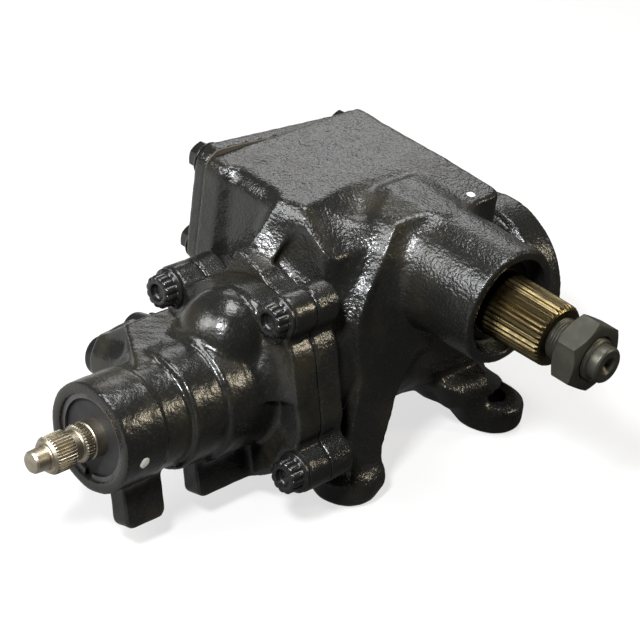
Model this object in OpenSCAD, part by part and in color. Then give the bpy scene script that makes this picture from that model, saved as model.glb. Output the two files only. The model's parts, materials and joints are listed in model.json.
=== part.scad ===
// Recirculating-ball power steering gearbox.
// Modelled about two axes: the worm axis runs along Y through X = 0, Z = 0, and the
// sector shaft runs along X through Y = 0 above it. The finished part is then moved so
// that it stands on its mounting feet, with the origin at the bottom centre of its box.

/* [Layout] */
// Height of the sector shaft axis above the worm axis
axis_offset = 50; // [48:0.5:54]
// Height of the worm axis above the mounting face
worm_height = 64.5; // [64.5:0.5:74]
// Sector axis forward to the joint face of the valve housing
front_reach = 88; // [88:0.5:98]
// Sector axis back to the rear end of the barrel
rear_reach = 99; // [99:0.5:110]
// Worm axis out to the joint face of the sector cover
cover_reach = 70; // [70:0.5:80]
// Worm axis out to the end of the sector boss
boss_reach = 84.5; // [84.5:0.5:96]
// Turn of the valve housing and its bolts about the worm axis
valve_clock = 16.5; // [0:0.5:24]

/* [Gear housing] */
// Wall around the piston bore
barrel_wall = 6; // [5:0.25:9]
// Diameter of the rim at the rear end
rim_d = 86; // [84:0.5:96]
// Top face above the sector axis
top_rise = 32; // [30:0.5:38]
// Wall above and around the sector chamber
chamber_wall = 7; // [5:0.5:9]
// Front wall of the chamber ahead of the sector axis
chamber_front = 62; // [56:0.5:68]
// Rear wall of the chamber behind the sector axis
chamber_rear = 45.5; // [40:0.5:50]
// Edge radius of the cast blocks
cast_round = 8; // [4:0.5:10]
// Outer diameter of the sector boss at its end
boss_d = 62; // [60:0.5:70]
// Growth of the boss diameter from its end to its root
boss_draft = 4; // [0:0.5:8]
// Thickness of each mounting ear
ear_thick = 16; // [12:0.5:24]
// Diameter of each mounting ear
ear_d = 35; // [32:0.5:40]
// Diameter of the mounting bolt holes
mount_bolt_d = 13.5; // [10:0.25:16]

/* [Valve housing] */
// Thickness of the valve housing flange
valve_flange_thick = 15; // [12:0.5:20]
// Thickness of the matching flange on the gear housing
gear_flange_thick = 15; // [12:0.5:20]
// Diameter of the round part of both flanges
flange_d = 102; // [100:0.5:110]
// Circle on which the four flange bolts sit
flange_bolt_circle = 114; // [114:0.5:124]
// Diameter of the flange bolts
flange_bolt_d = 11; // [9:0.5:12]
// Radius of the lobe around each flange bolt
flange_lobe_r = 11; // [11:0.5:14]
// Joint face forward to the end face of the nose
nose_reach = 107; // [107:0.5:118]
// Outer diameter of the nose
nose_d = 56; // [54:0.5:62]
// Diameter of the recess in the nose
nose_recess_d = 44.6; // [42:0.2:47]
// Depth of the recess in the nose
nose_recess_depth = 8; // [7:0.5:12]
// Diameter of the body behind the nose
valve_body_d = 66; // [62:0.5:74]
// Diameter of the bore that holds the valve
valve_bore_d = 35.1; // [34:0.1:38]
// Distance of the two lug soles from the worm axis
lug_reach = 51; // [46:0.5:56]
// Diameter of the hose port threads
port_d = 14; // [12:0.5:16]
// Depth of the hose port threads
port_depth = 15; // [12:0.5:18]
// Diameter of each port fitting
port_fitting_d = 20; // [18:0.5:26]

/* [Worm and piston] */
// Diameter of the rack piston
piston_d = 68; // [66:0.25:70]
// Length of the rack piston
piston_length = 130; // [126:0.5:132]
// Middle of the piston ahead of the sector axis at rest
piston_lead_in = 1; // [-1:0.5:2]
// Diameter over the lands of the worm
worm_d = 22.6; // [22:0.1:23.4]
// Advance of the piston for one turn of the worm
worm_lead = 11.3; // [10:0.1:13]
// Diameter of the circuit balls
ball_d = 6.35; // [6:0.05:6.6]
// Number of balls in the circuit
ball_count = 26; // [16:1:30]
// Diameter of the torsion bar at its ends
bar_d = 8.8; // [8:0.1:9.4]

/* [Input shaft] */
// How far the input shaft stands out of the nose
stub_reach = 35; // [32:0.5:42]
// Diameter of the input serrations
serration_d = 19; // [17:0.1:19.2]
// Number of input serrations
serration_count = 36; // [24:1:40]
// Diameter of the rotary valve spool
spool_d = 24; // [23:0.1:26]

/* [Sector shaft] */
// Module of the sector teeth
gear_module = 4.5; // [4.3:0.05:4.6]
// Teeth on a full circle of the sector
gear_teeth = 12; // [12:1:12]
// Teeth that the sector has
sector_teeth = 5; // [3:2:5]
// Pressure angle of the teeth
pressure_angle = 25; // [23:0.5:27]
// Width of the sector teeth
sector_width = 44; // [36:0.5:46]
// Diameter of the main journal
journal_d = 35; // [34:0.25:37]
// Diameter of the trunnion in the cover
trunnion_d = 32; // [28:0.25:34]
// Major diameter of the pitman arm splines at the outer end
spline_d = 33; // [31:0.2:33.4]
// Growth of the spline diameter towards the boss
spline_taper = 1.2; // [0:0.1:1.4]
// Number of pitman arm splines
spline_count = 36; // [24:1:40]
// Length of splines standing out of the boss
spline_reach = 32; // [26:0.5:40]
// Diameter of the pitman nut thread
neck_d = 22.2; // [20:0.2:24]
// Length of the threaded end
neck_length = 31; // [28:0.5:38]
// Width across flats of the pitman nut
nut_flats = 33.3; // [30:0.1:36]
// Thickness of the pitman nut
nut_thick = 14; // [11:0.5:17]

/* [Sector cover] */
// Thickness of the cover plate
cover_thick = 8; // [6:0.5:11]
// Thickness of the cover gasket
gasket_thick = 0.8; // [0.4:0.1:1.6]
// Front cover bolts ahead of the sector axis
cover_bolt_front = 57; // [54:0.5:62]
// Rear cover bolts behind the sector axis
cover_bolt_rear = 45; // [44:0.5:56]
// Front cover bolts above and below the sector axis
cover_bolt_rise = 24; // [20:0.5:27]
// Upper rear cover bolt above the sector axis
cover_rear_rise = 15; // [14:0.5:24]
// Lower rear cover bolt below the sector axis
cover_rear_drop = 30; // [24:0.5:32]
// Diameter of the cover bolts
cover_bolt_d = 9; // [7:0.5:10]
// Radius of the lobe around each cover bolt
cover_lobe_r = 10; // [9:0.5:12]
// Diameter of the lash adjuster screw
adjuster_d = 10; // [8:0.5:11]

/* [Fits] */
// Radial room of a turning shaft in its bush
running_gap = 0.04; // [0.02:0.01:0.08]
// Radial room of a seated piece in its bore
seat_gap = 0.02; // [0.01:0.01:0.06]
// Radial room of the piston in the barrel
piston_gap = 0.15; // [0.1:0.01:0.3]
// Play left between faces that turn past each other
end_gap = 0.3; // [0.2:0.05:0.5]
// Radial room of a bolt in its clearance hole
bolt_gap = 0.25; // [0.1:0.05:0.5]
// Backlash between sector and rack
backlash = 0.3; // [0.2:0.02:0.5]
// Radial room of the balls in the worm groove
groove_gap = 0.4; // [0.3:0.05:0.5]

/* [Hidden] */
$fn = 64;
hull_fn = 32;
eps = 0.5;

cast_black = [0.07, 0.07, 0.075];
bolt_black = [0.05, 0.05, 0.05];
steel = [0.62, 0.6, 0.56];
tan_steel = [0.68, 0.6, 0.48];
gold_steel = [0.55, 0.45, 0.28];
olive_steel = [0.22, 0.22, 0.18];
rubber = [0.08, 0.08, 0.08];
bronze = [0.6, 0.45, 0.25];
fibre = [0.35, 0.3, 0.22];
ptfe = [0.8, 0.78, 0.72];

// Places along the worm axis
joint_y = -front_reach;
nose_y = joint_y - nose_reach;
stub_y = nose_y - stub_reach;
valve_flange_y = joint_y - valve_flange_thick;
flange_head_thick = 9;
bearing_room = 20;
bearing_shoulder_y = joint_y - bearing_room;
bearing_room_r = 27;
race_nut_thick = 6;
race_nut_y = joint_y - race_nut_thick;
thrust_thick = 3.7;
worm_flange_y = [bearing_shoulder_y + thrust_thick + end_gap, race_nut_y - thrust_thick - end_gap];
worm_flange_r = bearing_room_r - 3;
worm_head_r = valve_bore_d / 2 - 0.55;
worm_head_y = bearing_shoulder_y - 6;
worm_neck_r = 13.5;
sleeve_y = [worm_head_y - 46, worm_head_y];
spool_y = [sleeve_y[0] - 0.5, worm_head_y - 2];
oil_seal_y = nose_y + nose_recess_depth;
oil_seal_thick = 9;
needle_y = oil_seal_y + oil_seal_thick;
needle_thick = 12;
valve_bore_y = needle_y + needle_thick;
input_r = serration_d / 2 + 0.1;
input_seal_r = 19;
input_needle_r = 13.5;
snap_ring_y = nose_y + 2;
snap_ring_thick = 1.6;
snap_groove = 1;

// Barrel and piston
piston_r = piston_d / 2;
bore_r = piston_r + piston_gap;
barrel_r = bore_r + barrel_wall;
piston_y = [-piston_length / 2 - piston_lead_in, piston_length / 2 - piston_lead_in];
plug_r = bore_r + 1.85;
plug_depth = 13;
plug_thick = 9;
plug_y = rear_reach - plug_depth;
plug_ring_thick = 2;
plug_ring_groove = 1.1;
ball_circle_r = worm_d / 2 + 0.9;
worm_bore_r = ball_circle_r + ball_d / 2 + 0.06;
groove_r = ball_d / 2 + groove_gap;
thread_lead_in = 1;
thread_length = 114;
worm_thread_y = [joint_y + thread_lead_in, joint_y + thread_lead_in + thread_length];
worm_points = 24;
piston_plug_thick = 12;
piston_plug_r = worm_bore_r + 1.6;
piston_plug_y = piston_y[1] - piston_plug_thick - 2;
piston_ring_width = 5;
piston_ring_y = piston_y[1] - 14;
piston_ring_depth = 3;
piston_ring_wall = 2.3;
bar_r = bar_d / 2;
bar_bore_r = bar_r + running_gap;
bar_waist_r = bar_r - 1.1;
bar_y = [stub_y + 5, worm_flange_y[1] + 38];
bar_land = 18;
bar_pin_r = 1.5;
bar_pin_y = stub_y + 16;
worm_pin_y = bar_y[1] - 7;
bar_twist_gap = 0.6;
drive_pin_r = 1.7;
drive_pin_half = 5;
sleeve_r = valve_bore_d / 2 - 0.3;
sleeve_bore_r = spool_d / 2 + running_gap;
drive_pin_at = (sleeve_r + sleeve_bore_r) / 2;
sleeve_ring_width = 2;
sleeve_ring_depth = 1.3;
sleeve_land_count = 4;
sleeve_land_step = 11.5;
sleeve_land_start = 3;
sleeve_port_after = 5;
sleeve_port_r = 2;

// Input shaft steps
tip_r = 6;
tip_length = 9;
serration_length = 13;
waist_r = 7.6;
waist_length = 5;
second_serration_length = 5;
serration_depth = 0.8;
serration_y = stub_y + tip_length;
waist_y = serration_y + serration_length;
second_serration_y = waist_y + waist_length;

// Teeth
pitch_r = gear_module * gear_teeth / 2;
base_r = pitch_r * cos(pressure_angle);
tip_rise = 0.9 * gear_module;
root_drop = 1.15 * gear_module;
rack_pitch_z = axis_offset - pitch_r;
rack_pitch = PI * gear_module;
rack_half_length = 3 * rack_pitch;
flank_steps = 6;
chamber_r = pitch_r + tip_rise + 2.5;
chamber_shoulder = 10;
chamber_end_x = sector_width / 2 + 4;
chamber_face_x = chamber_end_x + chamber_wall;

// Sector shaft and its boss
journal_r = journal_d / 2;
trunnion_r = trunnion_d / 2;
boss_r = boss_d / 2;
boss_bearing_r = journal_r + 3;
boss_bearing_length = 30;
boss_bearing_x = chamber_end_x + 2;
boss_seal_r = journal_r + 5.5;
boss_seal_x = boss_bearing_x + boss_bearing_length + 1;
boss_seal_length = 8;
boss_mouth_r = journal_r + 8.3;
boss_mouth_x = boss_seal_x + boss_seal_length;
dust_seal_length = 6;
seal_ring_x = boss_mouth_x + dust_seal_length;
seal_ring_thick = 1.8;
spline_x = boss_mouth_x + dust_seal_length + seal_ring_thick + 1;
spline_end_x = boss_reach + spline_reach;
spline_chamfer = 2;
spline_depth = 1.1;
shaft_end_x = spline_end_x + neck_length;
shaft_tip_length = 6;
shaft_tip_r = neck_d / 2 - 1.6;
shaft_centre_r = 4.5;
nut_x = spline_end_x + 9;
hub_r = pitch_r - root_drop;
hub_half = sector_width / 2 + 2;
trunnion_end_x = -cover_reach + 6;
retainer_thick = 2;
adjuster_head_r = 8;
adjuster_head_thick = 4.4;
adjuster_pocket_r = 9;
adjuster_pocket = retainer_thick + adjuster_head_thick + 2 * end_gap;

// Sector cover, with its bolts ahead of or behind the sector axis and above or below it
cover_bolts = [[-cover_bolt_front, cover_bolt_rise], [-cover_bolt_front, -cover_bolt_rise],
    [cover_bolt_rear, cover_rear_rise], [cover_bolt_rear, -cover_rear_drop]];
cover_inner_x = -cover_reach - gasket_thick;
cover_outer_x = cover_inner_x - cover_thick;
cover_boss_thick = 5;
cover_boss_r = 14;
cover_hub_r = trunnion_r + 6;
cover_hub_length = 30;
cover_bush_wall = 2.5;
cover_bush_r = trunnion_r + running_gap + cover_bush_wall;
cover_bolt_head_thick = 6;
cover_bolt_washer_thick = 1.8;
cover_bolt_washer_r = cover_bolt_d / 2 + 5;
cover_bolt_head_r = cover_bolt_d / 2 + 2.9;
cover_bolt_depth = 20;
cover_ear_thick = 24;
lock_nut_r = 9.5;
lock_nut_thick = 7;
adjuster_tip = 6;
adjuster_out_x = cover_outer_x - cover_boss_thick - lock_nut_thick - adjuster_tip;

// Flange bolts
flange_bolt_head_r = 8;
bolt_socket_r = 4.5;
bolt_socket_floor = 6;
bolt_lobes = 12;
bolt_lobe_r = 1.6;

// Mounting ears, measured from the two axes
mount_r = mount_bolt_d / 2;
ear_r = ear_d / 2;
sole_z = -worm_height;
front_ear = [barrel_r, -axis_offset - 3];
rear_ear = [barrel_r - 1, axis_offset + 10];
far_ear = [-barrel_r - 6, -10];
ears = [front_ear, rear_ear, far_ear];
ear_top = sole_z + ear_thick;
head_room = 4;
head_room_r = mount_r + 5;

// Lugs, joint ring and hose ports of the valve housing, in its clocked frame
port_face_x = -46;
flange_flat = 47;
nose_lug_start = 12;
nose_lug_length = 24;
second_lug_start = 58;
o_ring_r = 37;
o_ring_width = 4;
o_ring_depth = 2.2;
port_after_nose = 52;
port_pitch = 24;
port_y = [nose_y + port_after_nose, nose_y + port_after_nose + port_pitch];
port_z = [15, 20];
port_boss_r = port_fitting_d / 2 + 1.8;
port_fitting_out = 6;
port_fitting_in = 9;

// Ball circuit: the ball return runs under the piston
circuit_turns = 2.5;
circuit_y = -circuit_turns * worm_lead / 2;
guide_r = ball_d / 2 + 0.9;
guide_gap = 0.1;
guide_drop = piston_r - 10;
guide_slot_half = guide_r + 1.2;
clamp_thick = 1.6;
clamp_half = 6.5;
clamp_screw_r = 2;
clamp_screw_side = guide_r + 3.6;
clamp_screw_depth = 8;
clamp_z = -guide_drop - guide_r;

// Position of the two axes in the finished part
x_shift = -(shaft_end_x + adjuster_out_x) / 2;
y_shift = -(rear_reach + stub_y) / 2;

// Move a piece from the two axes to the finished part's own frame
module place() {
    translate([x_shift, y_shift, worm_height])
        children();
}

// Turn the valve housing and its flange about the worm axis
module clocked() {
    rotate([0, -valve_clock, 0])
        children();
}

// Solid of revolution on the worm axis between two places
module worm_rod(y0, y1, r0, r1 = undef) {
    translate([0, y0, 0])
        rotate([-90, 0, 0])
            cylinder(h = y1 - y0, r1 = r0, r2 = is_undef(r1) ? r0 : r1);
}

// Ring on the worm axis between two places
module worm_ring(y0, y1, r_out, r_in) {
    difference() {
        worm_rod(y0, y1, r_out);
        worm_rod(y0 - eps, y1 + eps, r_in);
    }
}

// Solid of revolution on the sector axis between two places
module sector_rod(x0, x1, r0, r1 = undef) {
    translate([x0, 0, axis_offset])
        rotate([0, 90, 0])
            cylinder(h = x1 - x0, r1 = r0, r2 = is_undef(r1) ? r0 : r1);
}

// Ring on the sector axis between two places
module sector_ring(x0, x1, r_out, r_in) {
    difference() {
        sector_rod(x0, x1, r_out);
        sector_rod(x0 - eps, x1 + eps, r_in);
    }
}

// Rod along X at a place in the side view, with corners fine enough for a hull
module side_rod(x0, x1, y, z, r) {
    translate([x0, y, z])
        rotate([0, 90, 0])
            cylinder(h = x1 - x0, r = r, $fn = hull_fn);
}

// Upright rod at a place in the plan view
module upright(at, z0, z1, r, fn = $fn) {
    translate([at[0], at[1], z0])
        cylinder(h = z1 - z0, r = r, $fn = fn);
}

// Round flange with four bolt lobes, between two places on the worm axis
module lobed_flange(y0, y1) {
    translate([0, y0, 0])
        rotate([-90, 0, 0])
            linear_extrude(y1 - y0)
                union() {
                    intersection() {
                        circle(d = flange_d);
                        square([2 * flange_flat, flange_d], center = true);
                    }
                    for (turn = [45:90:315])
                        rotate(turn) {
                            translate([flange_bolt_circle / 2, 0])
                                circle(flange_lobe_r);
                            translate([0, -flange_lobe_r])
                                square([flange_bolt_circle / 2, 2 * flange_lobe_r]);
                        }
                }
}

// The four flange bolt places, each with its axis along Y
module at_flange_bolts() {
    for (turn = [45:90:315])
        rotate([0, turn, 0])
            translate([flange_bolt_circle / 2, 0, 0])
                children();
}

// The four cover bolt places, each with its axis along X
module at_cover_bolts() {
    for (bolt = cover_bolts)
        translate([0, bolt[0], axis_offset + bolt[1]])
            children();
}

// Outline of the cover in the side view, without holes
module cover_outline() {
    hull()
        for (bolt = cover_bolts)
            translate([-bolt[1], bolt[0]])
                circle(cover_lobe_r, $fn = hull_fn);
}

// A slab of the cover outline between two places on the sector axis
module cover_slab(x0, x1) {
    translate([x0, 0, axis_offset])
        rotate([0, 90, 0])
            linear_extrude(x1 - x0)
                cover_outline();
}

// Ring of rounded splines about the Z axis
module spline_profile(r, depth, count) {
    polygon([for (i = [0:2 * count - 1])
        let (a = i * 180 / count)
            (r - (i % 2) * depth) * [cos(a), sin(a)]]);
}

// Room for the sector, open towards the cover: wide for the teeth, narrower over the hub
module sector_chamber() {
    height = axis_offset + chamber_shoulder + chamber_r;
    sector_rod(-cover_reach - eps, chamber_end_x, cover_hub_r + 1);
    intersection() {
        sector_rod(-cover_reach - eps, chamber_end_x, chamber_r);
        translate([-cover_reach - 2 * eps, -chamber_r - eps, -chamber_r])
            cube([cover_reach + chamber_end_x + 4 * eps, 2 * (chamber_r + eps), height]);
    }
}

// Slab with an outline in the side view, given as Y and Z, between two places on X
module side_slab(x0, x1, outline) {
    translate([x0, 0, 0])
        rotate([90, 0, 90])
            linear_extrude(x1 - x0)
                polygon(outline);
}

// Slab with an outline in the front view, given as X and Z, between two places on Y
module front_slab(y0, y1, outline) {
    translate([0, y1, 0])
        rotate([90, 0, 0])
            linear_extrude(y1 - y0)
                polygon(outline);
}

// Cast block over the sector, its top falling from a ridge towards the boss
module chamber_block() {
    top_z = axis_offset + top_rise - cast_round;
    front_y = -chamber_r + cast_round;
    rear_y = chamber_rear - cast_round;
    ridge_x = [-11, -18];
    fall = [11, 4];
    hull() {
        side_rod(-cover_reach, ridge_x[0], front_y, top_z, cast_round);
        side_rod(-cover_reach, ridge_x[1], rear_y, top_z, cast_round);
        side_rod(0, chamber_face_x, front_y, top_z - fall[0], cast_round);
        side_rod(0, chamber_face_x, rear_y, top_z - fall[1], cast_round);
        side_rod(-cover_reach, chamber_face_x, front_y - chamber_wall, 0, cast_round);
        side_rod(-cover_reach, chamber_face_x, rear_y, 0, cast_round);
    }
}

// Cast block ahead of the sector, its near side sloping down onto the barrel
module front_block() {
    top_z = axis_offset + top_rise - cast_round;
    low_z = barrel_r - cast_round;
    front_y = -chamber_front + cast_round;
    rear_y = -chamber_r / 2;
    ridge_x = -7;
    shoulder = [5, -6];
    low_x = 15;
    hull() {
        side_rod(-cover_reach, ridge_x, front_y, top_z, cast_round);
        side_rod(-cover_reach, shoulder[0], front_y, top_z + shoulder[1], cast_round);
        side_rod(-cover_reach, low_x, front_y, low_z, cast_round);
        side_rod(-cover_reach, ridge_x, rear_y, top_z, cast_round);
        side_rod(-cover_reach, shoulder[0], rear_y, top_z + shoulder[1], cast_round);
        side_rod(-cover_reach, low_x, rear_y, low_z, cast_round);
    }
}

// Sloping rectangular gusset from the front block down to a pad on the flange
module gusset() {
    width = 16;
    depth = 17;
    pad_thick = 12;
    edge_x = -cover_reach + 50;
    foot_z = flange_d / 2 + 6;
    top_z = axis_offset + top_rise;
    pad_top = foot_z + 4;
    pad_foot = barrel_r + 4;
    side_slab(edge_x, edge_x + width, [
        [-chamber_front + 4, top_z], [-chamber_front + 14, top_z - depth / 2],
        [joint_y + depth, pad_foot], [joint_y + 5, foot_z]]);
    front_slab(joint_y, joint_y + pad_thick, [
        [edge_x - 20, pad_foot], [edge_x - 14, pad_top - 1], [edge_x + width - 4, pad_top],
        [edge_x + width + 4, pad_foot]]);
}

// Web from the boss down to the front ear, its near face leaning out towards the foot
module front_leg() {
    foot_z = ear_top;
    top_z = axis_offset + 28;
    intersection() {
        side_slab(0, front_ear[0] + ear_r, [
            [-20, top_z], [-48, axis_offset + 3], [-64, axis_offset - 19], [-66, axis_offset - 28],
            [-58, axis_offset - 52], [-62, foot_z + 14], [-60, foot_z], [-39, foot_z],
            [-27, axis_offset - 64], [-22, axis_offset - 38], [-12, axis_offset - 16], [0, axis_offset + 10]]);
        front_slab(-axis_offset - ear_r, eps, [
            [0, top_z], [26, top_z], [front_ear[0] + 9, foot_z], [front_ear[0] - ear_r, foot_z], [0, -30]]);
    }
}

// Web from the barrel down to the rear ear, arched between the two feet
module rear_leg() {
    side_slab(4, rear_ear[0] - 1, [
        [-28, -12], [0, -4], [rear_ear[1] - 6, 4], [rear_ear[1] + 6, -6], [rear_ear[1] + 12, -30],
        [rear_ear[1] + 13, ear_top], [rear_ear[1] - 12, ear_top], [30, -40], [10, -33], [-14, -33], [-30, -38]]);
}

// Web from the barrel out to the ear on the cover side
module far_leg() {
    front_slab(far_ear[1] - ear_r + 3, far_ear[1] + ear_r - 3, [
        [-16, -24], [-36, 2], [-44, -6], [far_ear[0] - 14, ear_top], [far_ear[0] + 12, ear_top]]);
}

// Ear with the hole for a mounting bolt
module mount_ear(at) {
    color(cast_black)
        difference() {
            upright(at, sole_z, ear_top, ear_r);
            upright(at, sole_z - eps, ear_top + eps, mount_r);
        }
}

// Lugs that carry the cover bolts, reaching back to the chamber
module cover_lugs() {
    lug_r = cover_lobe_r - 1;
    for (bolt = cover_bolts) {
        bolt_z = axis_offset + bolt[1];
        translate([-cover_reach + 1, bolt[0], bolt_z])
            rotate([0, 90, 0])
                cylinder(h = cover_ear_thick - 1, r = lug_r);
        translate([-cover_reach + 1, min(0, bolt[0]), bolt_z - lug_r])
            cube([cover_ear_thick - 1, abs(bolt[0]), 2 * lug_r]);
    }
}

// Main casting: barrel, sector chamber, boss, flange and the legs that carry the ears
module gear_housing() {
    color(cast_black)
        difference() {
            union() {
                worm_rod(joint_y, rear_reach, barrel_r);
                worm_rod(plug_y - 6, rear_reach, rim_d / 2);
                clocked()
                    lobed_flange(joint_y, joint_y + gear_flange_thick);
                chamber_block();
                front_block();
                gusset();
                cover_lugs();
                cover_slab(-cover_reach, -cover_reach + 12);
                sector_rod(0, boss_reach, boss_r + boss_draft / 2, boss_r);
                front_leg();
                rear_leg();
                far_leg();
            }
            worm_rod(joint_y - eps, rear_reach - eps, bore_r);
            worm_rod(plug_y, rear_reach + eps, plug_r);
            worm_rod(plug_y + plug_thick, plug_y + plug_thick + plug_ring_thick, plug_r + plug_ring_groove);
            sector_chamber();
            sector_rod(0, boss_reach, boss_bearing_r);
            sector_rod(boss_seal_x, boss_reach, boss_seal_r);
            sector_rod(boss_mouth_x, boss_reach + eps, boss_mouth_r);
            clocked()
                at_flange_bolts()
                    worm_rod(joint_y - eps, joint_y + gear_flange_thick + eps, flange_bolt_d / 2 + seat_gap);
            at_cover_bolts()
                translate([-cover_reach - eps, 0, 0])
                    rotate([0, 90, 0])
                        cylinder(h = cover_bolt_depth + eps, d = cover_bolt_d + 2 * seat_gap);
            for (ear = ears)
                upright(ear, ear_top - eps, ear_top + head_room, head_room_r);
        }
}

// Ear at the front, under the near leg
module front_mount_ear() {
    mount_ear(front_ear);
}

// Ear at the rear, under the arched web
module rear_mount_ear() {
    mount_ear(rear_ear);
}

// Ear on the cover side
module far_mount_ear() {
    mount_ear(far_ear);
}

// Rounded slab hanging under the valve housing, in its clocked frame
module valve_lug(y0, y1) {
    x0 = -5;
    thick = 12;
    round_r = 5;
    union() {
        translate([x0, y0, -lug_reach + round_r])
            cube([thick, y1 - y0, lug_reach - round_r]);
        translate([x0, y0 + round_r, -lug_reach])
            cube([thick, y1 - y0 - 2 * round_r, 2 * round_r]);
        for (y = [y0 + round_r, y1 - round_r])
            translate([x0, y, -lug_reach + round_r])
                rotate([0, 90, 0])
                    cylinder(h = thick, r = round_r);
    }
}

// Flare from the body to the upper half of the flange, in the clocked frame
module flange_flare() {
    flare_length = 15;
    flare_reach = 12;
    half_z = -2;
    intersection() {
        worm_rod(valve_flange_y - flare_length, valve_flange_y + eps, valve_body_d / 2 - 1,
            valve_body_d / 2 + flare_reach);
        translate([-flange_d / 2, valve_flange_y - flare_length, half_z])
            cube([flange_d, flare_length + 1, flange_d / 2]);
    }
}

// Round hump over the body in front of the flange, in the clocked frame
module valve_dome() {
    dome_r = 24;
    dome_at = [5, valve_flange_y - 6, 26];
    intersection() {
        translate(dome_at)
            sphere(dome_r, $fn = 40);
        translate([-flange_d / 2, valve_flange_y - 2 * dome_r, 0])
            cube([flange_d, 2 * dome_r + 1, flange_d / 2]);
    }
}

// Block behind the two ports, sloped down to the top of the body, in the clocked frame
module port_block() {
    ridge = [-24, port_y[0] - 4, 37];
    ridge_length = 30;
    foot = [4, port_y[0] - 23, 27];
    foot_length = 34;
    edge = 1;
    base_z = 3;
    hull() {
        translate([port_face_x + 2, ridge[1], base_z])
            cube([edge, ridge_length, port_z[0] + port_boss_r - base_z]);
        translate([ridge[0], ridge[1], base_z])
            cube([edge, ridge_length, ridge[2] - base_z]);
        translate([foot[0], foot[1], base_z])
            cube([edge, foot_length, foot[2] - base_z]);
    }
}

// Rod along X in the clocked frame at one of the two ports
module port_rod(i, x0, x1, r) {
    translate([x0, port_y[i], port_z[i]])
        rotate([0, 90, 0])
            cylinder(h = x1 - x0, r = r);
}

// Second casting: nose, valve bore, hose ports and flange
module valve_housing() {
    nose_length = 26;
    ring_r = valve_body_d / 2 - 2.5;
    ring_y = [nose_y + 42, nose_y + 62];
    color(cast_black)
        difference() {
            clocked()
                difference() {
                    union() {
                        worm_rod(nose_y, nose_y + nose_length, nose_d / 2);
                        worm_rod(nose_y + nose_length - eps, ring_y[0] + eps, nose_d / 2 - 1);
                        worm_rod(ring_y[0], ring_y[1] + eps, ring_r);
                        worm_rod(ring_y[1], valve_flange_y + eps, valve_body_d / 2);
                        flange_flare();
                        valve_dome();
                        port_block();
                        lobed_flange(valve_flange_y, joint_y);
                        valve_lug(nose_y + nose_lug_start, nose_y + nose_lug_start + nose_lug_length);
                        valve_lug(nose_y + second_lug_start, valve_flange_y + eps);
                        hull()
                            for (i = [0, 1])
                                translate([port_face_x, port_y[i], port_z[i]])
                                    rotate([0, 90, 0])
                                        cylinder(h = -port_face_x - 4, r = port_boss_r, $fn = hull_fn);
                    }
                    at_flange_bolts() {
                        worm_rod(valve_flange_y - eps, joint_y + eps, flange_bolt_d / 2 + bolt_gap);
                        worm_rod(valve_flange_y - 40, valve_flange_y, flange_bolt_head_r + 3.5);
                    }
                    for (i = [0, 1])
                        port_rod(i, port_face_x - eps, port_face_x + port_fitting_in, port_fitting_d / 2 + seat_gap);
                }
            worm_rod(nose_y - eps, oil_seal_y, nose_recess_d / 2);
            worm_rod(snap_ring_y, snap_ring_y + snap_ring_thick, nose_recess_d / 2 + snap_groove);
            worm_rod(oil_seal_y - eps, needle_y, input_seal_r);
            worm_rod(needle_y - eps, valve_bore_y, input_needle_r);
            worm_rod(valve_bore_y - eps, joint_y, valve_bore_d / 2);
            worm_rod(bearing_shoulder_y, joint_y + eps, bearing_room_r);
            worm_ring(joint_y - o_ring_depth, joint_y + eps, o_ring_r + o_ring_width, o_ring_r);
        }
}

// Four lobed-head bolts through the flange
module valve_housing_bolts() {
    color(bolt_black)
        clocked()
            at_flange_bolts()
                difference() {
                    union() {
                        worm_rod(valve_flange_y, joint_y + gear_flange_thick - 1, flange_bolt_d / 2);
                        worm_rod(valve_flange_y - 2, valve_flange_y, flange_bolt_head_r + 2.5);
                        worm_rod(valve_flange_y - flange_head_thick, valve_flange_y - 2, flange_bolt_head_r);
                        for (turn = [0:360 / bolt_lobes:359])
                            rotate([0, turn, 0])
                                translate([flange_bolt_head_r - 0.2, 0, 0])
                                    worm_rod(valve_flange_y - flange_head_thick, valve_flange_y - 2, bolt_lobe_r);
                    }
                    worm_rod(valve_flange_y - flange_head_thick - eps, valve_flange_y - bolt_socket_floor,
                        bolt_socket_r);
                }
}

// Square-section seal in the face of the valve housing
module valve_housing_o_ring() {
    color(rubber)
        worm_ring(joint_y - o_ring_depth, joint_y, o_ring_r + o_ring_width - seat_gap, o_ring_r + seat_gap);
}

// Hose fitting in one of the two ports
module port_fitting(i) {
    clocked()
        difference() {
            port_rod(i, port_face_x - port_fitting_out, port_face_x + port_fitting_in, port_fitting_d / 2);
            port_rod(i, port_face_x - port_fitting_out - eps,
                port_face_x - port_fitting_out + port_depth - 3, port_d / 2);
        }
}

// Fitting for the pressure hose
module pressure_port_fitting() {
    color(bolt_black)
        port_fitting(0);
}

// Fitting for the return hose
module return_port_fitting() {
    color(bolt_black)
        port_fitting(1);
}

// Cover plate with its inner hub for the trunnion
module sector_cover() {
    color(cast_black)
        difference() {
            union() {
                cover_slab(cover_outer_x, cover_inner_x);
                sector_rod(cover_outer_x - cover_boss_thick, cover_outer_x + eps, cover_boss_r + 4, cover_boss_r + 6);
                sector_rod(cover_inner_x - eps, cover_inner_x + cover_hub_length, cover_hub_r);
            }
            sector_rod(cover_inner_x - 2, cover_inner_x + cover_hub_length + eps, cover_bush_r + seat_gap);
            sector_rod(adjuster_out_x, cover_inner_x, adjuster_d / 2 + running_gap);
            at_cover_bolts()
                translate([cover_outer_x - eps, 0, 0])
                    rotate([0, 90, 0])
                        cylinder(h = cover_thick + 2 * eps, d = cover_bolt_d + 2 * bolt_gap);
        }
}

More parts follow.
